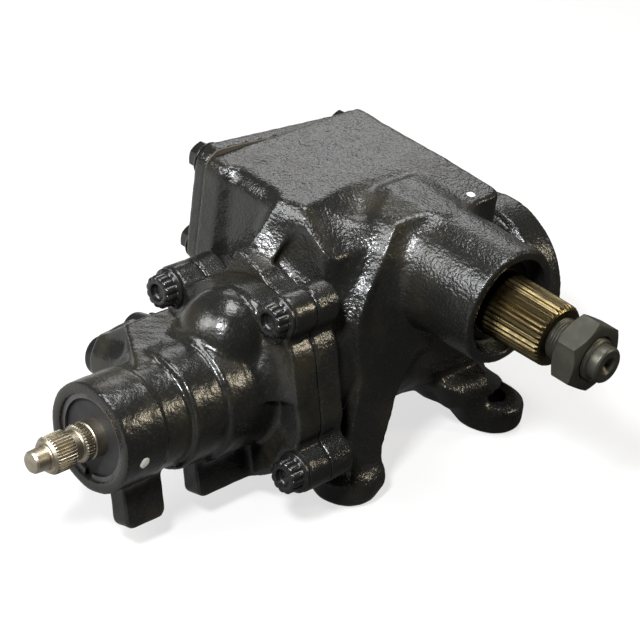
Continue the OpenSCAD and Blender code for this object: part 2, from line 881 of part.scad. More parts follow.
// Sheet gasket behind the cover
module sector_cover_gasket() {
    color(fibre)
        difference() {
            cover_slab(cover_inner_x, -cover_reach);
            sector_rod(cover_inner_x - eps, -cover_reach + eps, cover_hub_r + 1);
            at_cover_bolts()
                translate([cover_inner_x - eps, 0, 0])
                    rotate([0, 90, 0])
                        cylinder(h = gasket_thick + 2 * eps, d = cover_bolt_d + 2 * bolt_gap);
        }
}

// Four hexagon bolts with washer faces
module sector_cover_bolts() {
    color(bolt_black)
        at_cover_bolts()
            translate([cover_outer_x, 0, 0])
                rotate([0, 90, 0])
                    union() {
                        cylinder(h = cover_thick + gasket_thick + cover_bolt_depth - 1, d = cover_bolt_d);
                        translate([0, 0, -cover_bolt_washer_thick])
                            cylinder(h = cover_bolt_washer_thick, r = cover_bolt_washer_r);
                        translate([0, 0, -cover_bolt_washer_thick - cover_bolt_head_thick])
                            cylinder(h = cover_bolt_head_thick, r = cover_bolt_head_r, $fn = 6);
                    }
}

// Plain bush in the cover hub
module sector_cover_bush() {
    color(bronze)
        sector_ring(cover_inner_x - 2 + seat_gap, cover_inner_x + cover_hub_length, cover_bush_r, trunnion_r + running_gap);
}

// Lash adjuster screw, its head held in the end of the trunnion
module adjuster_screw() {
    head_x = trunnion_end_x + retainer_thick + end_gap;
    color(steel)
        difference() {
            union() {
                sector_rod(adjuster_out_x, head_x, adjuster_d / 2);
                sector_rod(head_x, head_x + adjuster_head_thick, adjuster_head_r);
            }
            translate([adjuster_out_x - eps, -adjuster_d / 2 - eps, axis_offset - 0.9])
                cube([2.5 + eps, adjuster_d + 2 * eps, 1.8]);
        }
}

// Lock nut on the adjuster screw
module adjuster_lock_nut() {
    nut_face_x = cover_outer_x - cover_boss_thick;
    color(steel)
        difference() {
            translate([nut_face_x - lock_nut_thick, 0, axis_offset])
                rotate([0, 90, 0])
                    cylinder(h = lock_nut_thick, r = lock_nut_r, $fn = 6);
            sector_rod(nut_face_x - lock_nut_thick - eps, nut_face_x + eps, adjuster_d / 2 + seat_gap);
        }
}

// Needle bearing shell in the boss
module sector_needle_bearing() {
    color(steel)
        sector_ring(boss_bearing_x, boss_bearing_x + boss_bearing_length, boss_bearing_r - seat_gap,
            journal_r + running_gap);
}

// Pressure seal outside the bearing
module sector_oil_seal() {
    color(rubber)
        sector_ring(boss_seal_x, boss_seal_x + boss_seal_length - end_gap, boss_seal_r - seat_gap,
            journal_r + running_gap);
}

// Dust seal in the mouth of the boss
module sector_dust_seal() {
    color(rubber)
        sector_ring(boss_mouth_x, boss_mouth_x + dust_seal_length, boss_mouth_r - seat_gap, journal_r + running_gap);
}

// Ring that keeps the seals in the boss
module sector_seal_ring() {
    color(steel)
        sector_ring(seal_ring_x, seal_ring_x + seal_ring_thick, boss_mouth_r - seat_gap, boss_mouth_r - 3.4);
}

// Plug that closes the barrel, with a square boss to turn it
module end_plug() {
    hub_r = 11;
    hub_square = 12;
    color(cast_black)
        difference() {
            union() {
                worm_rod(plug_y, plug_y + plug_thick, plug_r - seat_gap);
                worm_rod(plug_y + plug_thick - eps, rear_reach - 1, hub_r);
            }
            worm_ring(plug_y + 3, plug_y + 5.6, plug_r + eps, plug_r - 2.4);
            worm_ring(plug_y + 6.6, plug_y + plug_thick + eps, plug_r - 5, hub_r + 3);
            translate([-hub_square / 2, rear_reach - 7, -hub_square / 2])
                cube([hub_square, 8, hub_square]);
        }
}

// Seal in the groove of the plug
module end_plug_o_ring() {
    color(rubber)
        worm_ring(plug_y + 3 + seat_gap, plug_y + 5.6 - seat_gap, plug_r - seat_gap, plug_r - 2.4 + seat_gap);
}

// Ring that keeps the plug in, sprung into its groove
module end_plug_retaining_ring() {
    ring_y = plug_y + plug_thick;
    color(steel)
        difference() {
            worm_ring(ring_y + seat_gap, ring_y + plug_ring_thick - seat_gap,
                plug_r + plug_ring_groove - seat_gap, plug_r - 2);
            translate([-3, ring_y - eps, -plug_r - 4])
                cube([6, plug_ring_thick + 2 * eps, 8]);
        }
}

// Thrust bearing ahead of the worm flange
module worm_front_thrust_bearing() {
    color(steel)
        worm_ring(bearing_shoulder_y, bearing_shoulder_y + thrust_thick, bearing_room_r - seat_gap, worm_head_r + 0.5);
}

// Thrust bearing behind the worm flange
module worm_rear_thrust_bearing() {
    color(steel)
        worm_ring(race_nut_y - thrust_thick, race_nut_y, bearing_room_r - seat_gap, worm_neck_r + 2);
}

// Nut that sets the worm bearing play
module worm_bearing_nut() {
    color(steel)
        worm_ring(race_nut_y, joint_y, bearing_room_r - seat_gap, worm_neck_r + 1.5);
}

// Needle bearing of the input shaft
module input_needle_bearing() {
    color(steel)
        worm_ring(needle_y, needle_y + needle_thick, input_needle_r - seat_gap, input_r + running_gap);
}

// Pressure seal of the input shaft
module input_oil_seal() {
    color(rubber)
        worm_ring(oil_seal_y, needle_y, input_seal_r - seat_gap, input_r + running_gap);
}

// Dust seal in the nose recess
module input_dust_seal() {
    color(rubber)
        worm_ring(snap_ring_y + snap_ring_thick + 0.4, oil_seal_y, nose_recess_d / 2 - seat_gap, input_r + running_gap);
}

// Snap ring in the nose recess
module input_snap_ring() {
    color(steel)
        difference() {
            worm_ring(snap_ring_y + seat_gap, snap_ring_y + snap_ring_thick - seat_gap,
                nose_recess_d / 2 + snap_groove - seat_gap, nose_recess_d / 2 - 2.6);
            translate([-2.5, snap_ring_y - eps, -nose_recess_d / 2 - 2])
                cube([5, snap_ring_thick + 2 * eps, 6]);
        }
}

// Input stub with its serrations and the valve spool
module input_shaft() {
    slot_half = 1.6;
    slot_count = 6;
    color(tan_steel)
        difference() {
            union() {
                worm_rod(stub_y, serration_y, tip_r - 0.8, tip_r);
                translate([0, serration_y, 0])
                    rotate([-90, 0, 0])
                        linear_extrude(serration_length)
                            spline_profile(serration_d / 2, serration_depth, serration_count);
                worm_rod(waist_y, second_serration_y, waist_r);
                translate([0, second_serration_y, 0])
                    rotate([-90, 0, 0])
                        linear_extrude(second_serration_length)
                            spline_profile(serration_d / 2, serration_depth, serration_count);
                worm_rod(second_serration_y + second_serration_length, spool_y[0], input_r);
                worm_rod(spool_y[0], spool_y[1], spool_d / 2);
            }
            worm_rod(bar_y[0] - running_gap, spool_y[1] + eps, bar_bore_r);
            translate([0, bar_pin_y, 0])
                rotate([0, 90, 0])
                    cylinder(h = 2 * serration_d, r = bar_pin_r + seat_gap, center = true);
            for (turn = [0:360 / slot_count:359])
                rotate([0, turn, 0])
                    translate([spool_d / 2 - 1.5, spool_y[0] + 8, -slot_half])
                        cube([4, spool_y[1] - spool_y[0] - 16, 2 * slot_half]);
        }
}

// Torsion bar from the stub to the worm
module torsion_bar() {
    color(steel)
        difference() {
            union() {
                worm_rod(bar_y[0], bar_y[0] + bar_land, bar_r);
                worm_rod(bar_y[0] + bar_land, bar_y[1] - bar_land, bar_waist_r);
                worm_rod(bar_y[1] - bar_land, bar_y[1], bar_r);
            }
            translate([0, bar_pin_y, 0])
                rotate([0, 90, 0])
                    cylinder(h = 4 * bar_r, r = bar_pin_r + seat_gap, center = true);
            translate([0, worm_pin_y, 0])
                rotate([0, 90, 0])
                    cylinder(h = 4 * bar_r, r = bar_pin_r + bar_twist_gap, center = true);
        }
}

// Cross pin between the stub and the torsion bar
module torsion_bar_pin() {
    color(steel)
        translate([0, bar_pin_y, 0])
            rotate([0, 90, 0])
                cylinder(h = serration_d - 2 * serration_depth - 0.4, r = bar_pin_r, center = true);
}

// Section across the worm, its groove cut by a ball on the ball circle
function groove_depth(turn) =
    let (along = worm_lead * turn / 360)
        abs(along) < groove_r ? ball_circle_r - sqrt(groove_r * groove_r - along * along) : worm_d / 2;

module worm_section() {
    polygon([for (i = [0:worm_points - 1])
        let (turn = i * 360 / worm_points - 180)
            min(worm_d / 2, groove_depth(turn)) * [cos(turn), sin(turn)]]);
}

// Worm with its thrust flange and the head that carries the valve sleeve
module worm_shaft() {
    turns = (worm_thread_y[1] - worm_thread_y[0]) / worm_lead;
    start_turn = -360 * (worm_thread_y[0] - circuit_y) / worm_lead;
    steps_per_turn = 10;
    color(steel)
        difference() {
            union() {
                worm_rod(worm_head_y, worm_flange_y[0], worm_head_r);
                worm_rod(worm_flange_y[0], worm_flange_y[1], worm_flange_r);
                worm_rod(worm_flange_y[1], worm_thread_y[0], worm_neck_r);
                translate([0, worm_thread_y[0], 0])
                    rotate([-90, 0, 0])
                        rotate(-start_turn)
                            linear_extrude(worm_thread_y[1] - worm_thread_y[0], twist = -360 * turns,
                                slices = ceil(turns * steps_per_turn), $fn = worm_points)
                                worm_section();
            }
            worm_rod(worm_head_y - eps, bar_y[1] + end_gap, bar_bore_r);
            translate([0, worm_pin_y, 0])
                rotate([0, 90, 0])
                    cylinder(h = 4 * worm_d, r = bar_pin_r + seat_gap, center = true);
            translate([0, 0, drive_pin_at])
                worm_rod(worm_head_y - eps, worm_head_y + drive_pin_half + end_gap, drive_pin_r + seat_gap);
        }
}

// Cross pin between the torsion bar and the worm
module worm_pin() {
    color(steel)
        translate([0, worm_pin_y, 0])
            rotate([0, 90, 0])
                cylinder(h = 2 * (ball_circle_r - groove_r) - 0.4, r = bar_pin_r, center = true);
}

// Places of the seal rings along the valve sleeve
function sleeve_ring_y(i) = sleeve_y[0] + sleeve_land_start + i * sleeve_land_step;

// Valve sleeve around the spool
module valve_sleeve() {
    color(steel)
        difference() {
            worm_rod(sleeve_y[0], sleeve_y[1], sleeve_r);
            worm_rod(sleeve_y[0] - eps, sleeve_y[1] + eps, sleeve_bore_r);
            for (i = [0:sleeve_land_count - 1])
                worm_ring(sleeve_ring_y(i) - seat_gap, sleeve_ring_y(i) + sleeve_ring_width + seat_gap,
                    sleeve_r + eps, sleeve_r - sleeve_ring_depth);
            translate([0, 0, drive_pin_at])
                worm_rod(sleeve_y[1] - drive_pin_half - end_gap, sleeve_y[1] + eps, drive_pin_r + seat_gap);
            for (i = [0:sleeve_land_count - 2], turn = [0:90:270])
                rotate([0, turn + 45, 0])
                    translate([0, sleeve_ring_y(i) + sleeve_ring_width + sleeve_port_after, 0])
                        cylinder(h = sleeve_r + eps, r = sleeve_port_r);
        }
}

// Seal rings on the valve sleeve
module valve_sleeve_rings() {
    color(ptfe)
        for (i = [0:sleeve_land_count - 1])
            worm_ring(sleeve_ring_y(i), sleeve_ring_y(i) + sleeve_ring_width, valve_bore_d / 2 - running_gap,
                sleeve_r - sleeve_ring_depth + seat_gap);
}

// Pin by which the worm turns the valve sleeve
module sleeve_drive_pin() {
    color(steel)
        translate([0, 0, drive_pin_at])
            worm_rod(worm_head_y - drive_pin_half, worm_head_y + drive_pin_half, drive_pin_r);
}

// Gap between two rack teeth, in the side view about its own middle
module rack_gap() {
    half = rack_pitch / 4 + backlash / 2;
    top = half + tip_rise * tan(pressure_angle);
    bottom = half - root_drop * tan(pressure_angle);
    over = 1;
    polygon([[-top - over * tan(pressure_angle), tip_rise + over], [-bottom, -root_drop],
        [bottom, -root_drop], [top + over * tan(pressure_angle), tip_rise + over]]);
}

// Place of each end of the ball return, at the ends of the circuit
guide_y = [circuit_y - worm_lead * 0.25, circuit_y + worm_lead * (circuit_turns + 0.25)];

// Piston with the rack on top and the ball nut inside
module rack_piston() {
    color(steel)
        difference() {
            worm_rod(piston_y[0], piston_y[1], piston_r);
            translate([-piston_r - eps, -rack_half_length, rack_pitch_z + tip_rise])
                cube([2 * (piston_r + eps), 2 * rack_half_length, piston_r]);
            for (i = [-2:2])
                translate([-piston_r - eps, i * rack_pitch, rack_pitch_z])
                    rotate([90, 0, 90])
                        linear_extrude(2 * (piston_r + eps))
                            rack_gap();
            worm_rod(piston_y[0] - eps, piston_plug_y + eps, worm_bore_r);
            worm_rod(piston_plug_y, piston_y[1] + eps, piston_plug_r);
            worm_ring(piston_ring_y - seat_gap, piston_ring_y + piston_ring_width + seat_gap, piston_r + eps,
                piston_r - piston_ring_depth);
            translate([-guide_slot_half, guide_y[0] - guide_slot_half, -piston_r - eps])
                cube([2 * guide_slot_half, guide_y[1] - guide_y[0] + 2 * guide_slot_half,
                    piston_r + eps - guide_drop + guide_r + 0.6]);
            translate([-clamp_screw_side - 5, (guide_y[0] + guide_y[1]) / 2 - clamp_half - 1, -piston_r - eps])
                cube([2 * clamp_screw_side + 10, 2 * clamp_half + 2, piston_r + eps + clamp_z]);
            for (y = guide_y)
                upright([0, y], -guide_drop, 0, guide_r + guide_gap);
            for (side = [-1, 1])
                upright([side * clamp_screw_side, (guide_y[0] + guide_y[1]) / 2], clamp_z - eps,
                    clamp_z + clamp_screw_depth, clamp_screw_r + seat_gap);
        }
}

// Low-friction ring in the piston groove
module piston_ring() {
    color(ptfe)
        worm_ring(piston_ring_y, piston_ring_y + piston_ring_width, bore_r - running_gap, bore_r - piston_ring_wall);
}

// Rubber ring that presses the piston ring outwards
module piston_ring_expander() {
    color(rubber)
        worm_ring(piston_ring_y + eps, piston_ring_y + piston_ring_width - eps, bore_r - piston_ring_wall - seat_gap,
            piston_r - piston_ring_depth + seat_gap);
}

// Plug at the blind end of the worm bore
module piston_plug() {
    socket = 12;
    color(steel)
        difference() {
            worm_rod(piston_plug_y, piston_plug_y + piston_plug_thick, piston_plug_r - seat_gap);
            translate([-socket / 2, piston_plug_y + 5, -socket / 2])
                cube([socket, piston_plug_thick, socket]);
        }
}

// Balls along the worm groove
module circuit_balls() {
    color(steel)
        for (i = [0:ball_count - 1]) {
            turn = (i + 0.5) * 360 * circuit_turns / ball_count;
            translate([ball_circle_r * cos(turn), circuit_y + worm_lead * turn / 360, -ball_circle_r * sin(turn)])
                sphere(d = ball_d);
        }
}

// Tube that leads the balls from one end of the circuit to the other
module ball_return_guide() {
    wall_z = -worm_bore_r - 0.6;
    color(steel)
        union() {
            for (y = guide_y) {
                upright([0, y], -guide_drop, wall_z, guide_r);
                translate([0, y, -guide_drop])
                    sphere(guide_r);
            }
            translate([0, 0, -guide_drop])
                worm_rod(guide_y[0], guide_y[1], guide_r);
        }
}

// Strap that holds the ball return against the piston
module guide_clamp() {
    mid_y = (guide_y[0] + guide_y[1]) / 2;
    color(steel)
        difference() {
            translate([-clamp_screw_side - 4.5, mid_y - clamp_half, clamp_z - clamp_thick])
                cube([2 * clamp_screw_side + 9, 2 * clamp_half, clamp_thick]);
            for (side = [-1, 1])
                upright([side * clamp_screw_side, mid_y], clamp_z - clamp_thick - eps, clamp_z + eps,
                    clamp_screw_r + 0.2);
        }
}

// Two screws of the ball return strap
module guide_clamp_screws() {
    mid_y = (guide_y[0] + guide_y[1]) / 2;
    head_thick = 2;
    color(steel)
        for (side = [-1, 1]) {
            upright([side * clamp_screw_side, mid_y], clamp_z - clamp_thick, clamp_z + clamp_screw_depth - 1,
                clamp_screw_r);
            upright([side * clamp_screw_side, mid_y], clamp_z - clamp_thick - head_thick, clamp_z - clamp_thick, 3.6);
        }
}

// Half the angle of a sector tooth at a radius
function involute_angle(a) = tan(a) * 180 / PI - a;
function tooth_half(r) = 90 / gear_teeth - backlash * 90 / (PI * pitch_r) + involute_angle(pressure_angle)
    - involute_angle(acos(min(1, base_r / r)));

// One sector tooth pointing along +X of its own plane
module sector_tooth() {
    tip_r = pitch_r + tip_rise;
    radii = [for (i = [0:flank_steps]) base_r + (tip_r - base_r) * i / flank_steps];
    root = [hub_r - 1, tooth_half(base_r)];
    polygon(concat(
        [root[0] * [cos(root[1]), -sin(root[1])]],
        [for (r = radii) r * [cos(tooth_half(r)), -sin(tooth_half(r))]],
        [for (i = [flank_steps:-1:0]) radii[i] * [cos(tooth_half(radii[i])), sin(tooth_half(radii[i]))]],
        [root[0] * [cos(root[1]), sin(root[1])]]));
}

// Sector shaft: trunnion, sector, journal, splines and threaded end
module sector_shaft() {
    color(gold_steel)
        difference() {
            union() {
                sector_rod(trunnion_end_x, -hub_half, trunnion_r);
                sector_rod(-hub_half, hub_half, hub_r);
                translate([-sector_width / 2, 0, axis_offset])
                    rotate([0, 90, 0])
                        linear_extrude(sector_width)
                            for (i = [0:sector_teeth - 1])
                                rotate((i - (sector_teeth - 1) / 2) * 360 / gear_teeth)
                                    sector_tooth();
                sector_rod(hub_half, spline_x, journal_r);
                intersection() {
                    translate([spline_x, 0, axis_offset])
                        rotate([0, 90, 0])
                            linear_extrude(spline_end_x - spline_x)
                                spline_profile(spline_d / 2 + spline_taper / 2, spline_depth, spline_count);
                    sector_rod(spline_x, spline_end_x, spline_d / 2 + spline_taper / 2, spline_d / 2);
                    sector_rod(spline_x, spline_end_x, spline_d / 2 + (spline_end_x - spline_x) - spline_chamfer,
                        spline_d / 2 - spline_chamfer);
                }
                sector_rod(spline_end_x - eps, shaft_end_x - shaft_tip_length, neck_d / 2);
                sector_rod(shaft_end_x - shaft_tip_length, shaft_end_x, shaft_tip_r, shaft_tip_r - 0.8);
            }
            sector_rod(trunnion_end_x - eps, trunnion_end_x + adjuster_pocket, adjuster_pocket_r);
            sector_rod(shaft_end_x - 4, shaft_end_x + eps, shaft_centre_r - 2.5, shaft_centre_r);
        }
}

// Ring that holds the adjuster head in the trunnion
module adjuster_retainer() {
    color(steel)
        sector_ring(trunnion_end_x, trunnion_end_x + retainer_thick, adjuster_pocket_r - seat_gap,
            adjuster_d / 2 + end_gap);
}

// Hexagon nut for the pitman arm, chamfered at both ends
module pitman_nut() {
    corner_r = nut_flats / 2 / cos(30);
    color(olive_steel)
        difference() {
            intersection() {
                translate([nut_x, 0, axis_offset])
                    rotate([0, 90, 0])
                        cylinder(h = nut_thick, r = corner_r, $fn = 6);
                sector_rod(nut_x, nut_x + nut_thick, nut_flats / 2 - 0.5 + 1.7 * nut_thick, nut_flats / 2 - 0.5);
                sector_rod(nut_x, nut_x + nut_thick, nut_flats / 2 - 0.5, nut_flats / 2 - 0.5 + 1.7 * nut_thick);
            }
            sector_rod(nut_x - eps, nut_x + nut_thick + eps, neck_d / 2 + seat_gap);
        }
}

place() gear_housing();
place() front_mount_ear();
place() rear_mount_ear();
place() far_mount_ear();
place() valve_housing();
place() valve_housing_bolts();
place() valve_housing_o_ring();
place() pressure_port_fitting();
place() return_port_fitting();
place() sector_cover();
place() sector_cover_gasket();
place() sector_cover_bolts();
place() sector_cover_bush();
place() adjuster_screw();
place() adjuster_lock_nut();
place() sector_needle_bearing();
place() sector_oil_seal();
place() sector_dust_seal();
place() sector_seal_ring();
place() end_plug();
place() end_plug_o_ring();
place() end_plug_retaining_ring();
place() worm_front_thrust_bearing();
place() worm_rear_thrust_bearing();
place() worm_bearing_nut();
place() input_needle_bearing();
place() input_oil_seal();
place() input_dust_seal();
place() input_snap_ring();
place() input_shaft();
place() torsion_bar();
place() torsion_bar_pin();
place() worm_shaft();
place() worm_pin();
place() valve_sleeve();
place() valve_sleeve_rings();
place() sleeve_drive_pin();
place() rack_piston();
place() piston_ring();
place() piston_ring_expander();
place() piston_plug();
place() circuit_balls();
place() ball_return_guide();
place() guide_clamp();
place() guide_clamp_screws();
place() sector_shaft();
place() adjuster_retainer();
place() pitman_nut();
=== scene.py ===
"""Looks of a power steering gearbox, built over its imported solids.

Pieces are modelled in millimetres about the two shaft axes: the worm axis runs along Y
through X = 0, Z = 0, and the sector shaft runs along X above it. Datum moves them into the
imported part's own frame, in metres. Castings are skinned from fields of signed distance, so
that every joint between cast forms has a fillet, and turned pieces come from rings.
"""

import json
import logging
import math
from collections.abc import Sequence
from dataclasses import dataclass, field
from enum import Enum

import bmesh
import bpy
import numpy as np
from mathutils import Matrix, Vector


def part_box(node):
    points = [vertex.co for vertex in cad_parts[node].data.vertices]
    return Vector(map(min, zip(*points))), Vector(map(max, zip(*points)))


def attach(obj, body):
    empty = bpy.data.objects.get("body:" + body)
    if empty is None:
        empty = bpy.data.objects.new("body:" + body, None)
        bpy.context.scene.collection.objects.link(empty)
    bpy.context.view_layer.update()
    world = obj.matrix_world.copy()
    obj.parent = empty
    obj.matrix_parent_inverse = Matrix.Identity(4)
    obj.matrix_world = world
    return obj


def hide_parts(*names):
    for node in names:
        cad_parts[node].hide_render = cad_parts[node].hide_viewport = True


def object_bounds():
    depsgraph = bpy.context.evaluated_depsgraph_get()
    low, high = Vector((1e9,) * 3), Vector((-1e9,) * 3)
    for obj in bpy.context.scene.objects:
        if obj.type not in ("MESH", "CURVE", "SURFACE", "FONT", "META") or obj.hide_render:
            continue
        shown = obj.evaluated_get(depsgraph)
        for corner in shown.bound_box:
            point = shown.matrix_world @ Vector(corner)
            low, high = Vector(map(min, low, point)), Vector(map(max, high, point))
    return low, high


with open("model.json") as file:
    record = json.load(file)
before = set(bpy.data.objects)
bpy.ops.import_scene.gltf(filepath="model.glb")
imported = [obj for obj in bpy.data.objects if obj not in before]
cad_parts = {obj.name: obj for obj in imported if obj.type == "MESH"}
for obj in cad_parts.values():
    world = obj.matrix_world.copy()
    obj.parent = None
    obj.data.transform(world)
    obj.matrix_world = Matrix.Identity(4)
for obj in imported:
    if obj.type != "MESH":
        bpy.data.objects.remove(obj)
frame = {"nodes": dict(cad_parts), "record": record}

import openvdb
from mathutils import Matrix, Vector

Pair = tuple[float, float]
Triple = tuple[float, float, float]
Outline = Sequence[Pair]
Ring = tuple[np.ndarray | float, np.ndarray | float]

MM = 0.001
CAD_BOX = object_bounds()
PHOTO_PIXELS = 640
SENSOR_MM = 36.0
TURN = 2 * math.pi
MERGE_M = 1e-6
POINT_R = 0.01
OVERCUT = 9.0
OVERRUN = 20.0
MACHINED_EDGE = 0.8
WORM_AXIS = (0.0, 0.0)
VALVE_CLOCK = math.radians(16.5)
WHITE = (1.0, 1.0, 1.0, 1.0)
EARS = ("front", "rear", "far")

log = logging.getLogger("gearbox")


class Axis(Enum):
    """The axis that a piece is turned or extruded along."""

    X = 0
    Y = 1
    Z = 2


class Body(Enum):
    """The bodies that visible pieces ride on."""

    HOUSING = "housing"
    SECTOR = "sector"
    INPUT = "input_shaft"


class Slot(Enum):
    """The record's material slots."""

    CASTINGS = "castings"
    BOLTS = "black_bolts"
    PORTS = "port_fittings"
    RUBBER = "rubber_seals"
    GASKET = "gasket"
    BRONZE = "bronze_bush"
    ZINC = "zinc_steel"
    BEARING = "bearing_steel"
    INPUT = "input_steel"
    VALVE = "valve_steel"
    PTFE = "ptfe_rings"
    SECTOR = "sector_steel"
    NUT = "nut_steel"


def box_mm(node: str) -> np.ndarray:
    """A node's lowest and highest corners at rest, in millimetres."""
    return np.array([list(corner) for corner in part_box(node)]) / MM


@dataclass(frozen=True)
class Datum:
    """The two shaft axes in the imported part, and the main places along them."""

    origin: np.ndarray
    sector_z: float
    joint_y: float
    nose_y: float
    stub_y: float
    rear_y: float
    boss_x: float
    cover_x: float
    sole_z: float

    @classmethod
    def measured(cls) -> "Datum":
        """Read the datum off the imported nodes.

        Returns:
            The datum, in millimetres.
        """
        names = ("input_shaft", "pitman_nut", "valve_housing", "gear_housing", "sector_cover_gasket")
        stub, nut, valve, gear, gasket = (box_mm(name) for name in names)
        middle = stub.mean(axis=0)
        origin = np.array([middle[0], nut[:, 1].mean(), middle[2]])
        return cls(
            origin=origin,
            sector_z=nut[:, 2].mean() - origin[2],
            joint_y=valve[1, 1] - origin[1],
            nose_y=valve[0, 1] - origin[1],
            stub_y=stub[0, 1] - origin[1],
            rear_y=gear[1, 1] - origin[1],
            boss_x=gear[1, 0] - origin[0],
            cover_x=gasket[1, 0] - origin[0],
            sole_z=CAD_BOX[0][2] / MM - origin[2],
        )

    def mount(self, name: str) -> np.ndarray:
        """Place of one of the record's mounts, about the two axes."""
        found = next(m for m in frame["record"]["mounts"] if m["name"] == name)
        return np.array(found["pos_m"]) / MM - self.origin


DATUM = Datum.measured()
SECTOR_AXIS = (0.0, DATUM.sector_z)


# Shapes


@dataclass
class Shape:
    """Points in millimetres about the two axes, and the faces between them."""

    points: np.ndarray
    faces: list[Sequence[int]]

    def placed(self, axis: Axis, at: Triple) -> "Shape":
        """The shape with its own Z laid along an axis and its origin moved to a place."""
        return Shape(np.roll(self.points, axis.value + 1, axis=1) + np.array(at), self.faces)

    def turned_about_worm(self, angle: float) -> "Shape":
        """The shape turned about the worm axis, as the valve housing is clocked.

        Args:
            angle: angle of the turn.

        Returns:
            The turned shape.
        """
        cos, sin = math.cos(angle), math.sin(angle)
        x, y, z = self.points.T
        return Shape(np.column_stack([x * cos - z * sin, y, x * sin + z * cos]), self.faces)

    def __add__(self, other: "Shape") -> "Shape":
        """Both shapes as one mesh."""
        moved = [[i + len(self.points) for i in face] for face in other.faces]
        return Shape(np.vstack([self.points, other.points]), [*self.faces, *moved])


def turning(rings: Sequence[Ring], sectors: int, closed: bool = False) -> Shape:
    """Skin rings of points round the Z axis.

    Args:
        rings: place along the axis and radius of each, as a number or one for each sector.
        sectors: number of points in a ring.
        closed: join the last ring to the first, for a piece with a bore.

    Returns:
        The skinned shape; an open one is capped at both ends.
    """
    angle = np.arange(sectors) * TURN / sectors
    rows = []
    for along, radius in rings:
        reach = np.broadcast_to(np.asarray(radius, float), angle.shape)
        place = np.broadcast_to(np.asarray(along, float), angle.shape)
        rows.append(np.column_stack([reach * np.cos(angle), reach * np.sin(angle), place]))
    faces: list[Sequence[int]] = []
    count = len(rows)
    for row in range(count if closed else count - 1):
        here, there = row * sectors, (row + 1) % count * sectors
        for i in range(sectors):
            j = (i + 1) % sectors
            faces.append((here + i, here + j, there + j, there + i))
    if not closed:
        faces.append(tuple(range(sectors))[::-1])
        faces.append(tuple(range((count - 1) * sectors, count * sectors)))
    return Shape(np.vstack(rows), faces)


def softened(profile: Outline, radius: float) -> list[Pair]:
    """Round the corners of a turned piece's profile.

    Args:
        profile: places along the axis with their radii.
        radius: length cut from each side of a corner, where there is room.

    Returns:
        The profile with three points for each corner between its ends.
    """
    points = [np.array(p, float) for p in profile]
    out: list[Pair] = [tuple(points[0])]
    for before, here, after in zip(points, points[1:], points[2:]):
        back, on = before - here, after - here
        start = here + back / np.linalg.norm(back) * min(radius, np.linalg.norm(back) / 2)
        end = here + on / np.linalg.norm(on) * min(radius, np.linalg.norm(on) / 2)
        for t in (0.0, 0.5, 1.0):
            out.append(tuple((1 - t) ** 2 * start + 2 * t * (1 - t) * here + t**2 * end))
    return [*out, tuple(points[-1])]


def grooves(count: int, per_groove: int, steep: float, land: float) -> np.ndarray:
    """Depth of straight grooves round a shaft, from 0 on a crest to 1 in a root.

    Args:
        count: number of grooves.
        per_groove: points across each.
        steep: steepness of the flanks.
        land: width of the crest.

    Returns:
        The depth at each point of a ring.
    """
    phase = np.arange(count * per_groove) % per_groove / per_groove
    return np.clip(np.abs(phase - 0.5) * steep - land, 0, 1)


def hexagon_head(flats: float, low: float, high: float, bore: float, sectors: int = 96) -> Shape:
    """A hexagon with the curved chamfers that turning leaves on its corners.

    Args:
        flats: width across flats.
        low: place of the lower face along Z.
        high: place of the upper face along Z.
        bore: radius of the hole, or 0 for a solid head.
        sectors: points in a ring, a multiple of six.

    Returns:
        The hexagon about the Z axis.
    """
    angle = np.arange(sectors) * TURN / sectors
    to_flat = (angle + TURN / 12) % (TURN / 6) - TURN / 12
    outline = flats / 2 / np.cos(to_flat)
    face_r = flats / 2 * 0.96
    drop = (outline - face_r) * math.tan(TURN / 12)
    rings: list[Ring] = [(low, face_r), (low + drop, outline), (high - drop, outline), (high, face_r)]
    if not bore:
        return turning([*rings, (high, face_r * 0.5)], sectors)
    chamfer = 1.2
    rings = [(low + chamfer, bore), (low, bore + chamfer), *rings]
    return turning([*rings, (high, bore + chamfer), (high - chamfer, bore)], sectors, closed=True)


def thread(low: float, high: float, radius: float, pitch: float, sectors: int = 64) -> Shape:
    """A rod with a helical thread and chamfered ends.

    Args:
        low: place of the lower end along Z.
        high: place of the upper end along Z.
        radius: radius over the crests.
        pitch: distance between crests.
        sectors: points in a ring.

    Returns:
        The threaded rod about the Z axis.
    """
    rise = pitch / 8
    depth = 0.55 * pitch
    angle = np.arange(sectors) / sectors
    rings: list[Ring] = []
    for along in np.arange(low, high + rise, rise):
        phase = (along / pitch - angle) % 1.0
        groove = np.clip(np.abs(phase - 0.5) * 2.6 - 0.15, 0, 1)
        crest = radius - max(0.0, depth - min(along - low, high - along))
        rings.append((min(along, high), np.minimum(crest, radius - depth * groove)))
    return turning(rings, sectors)


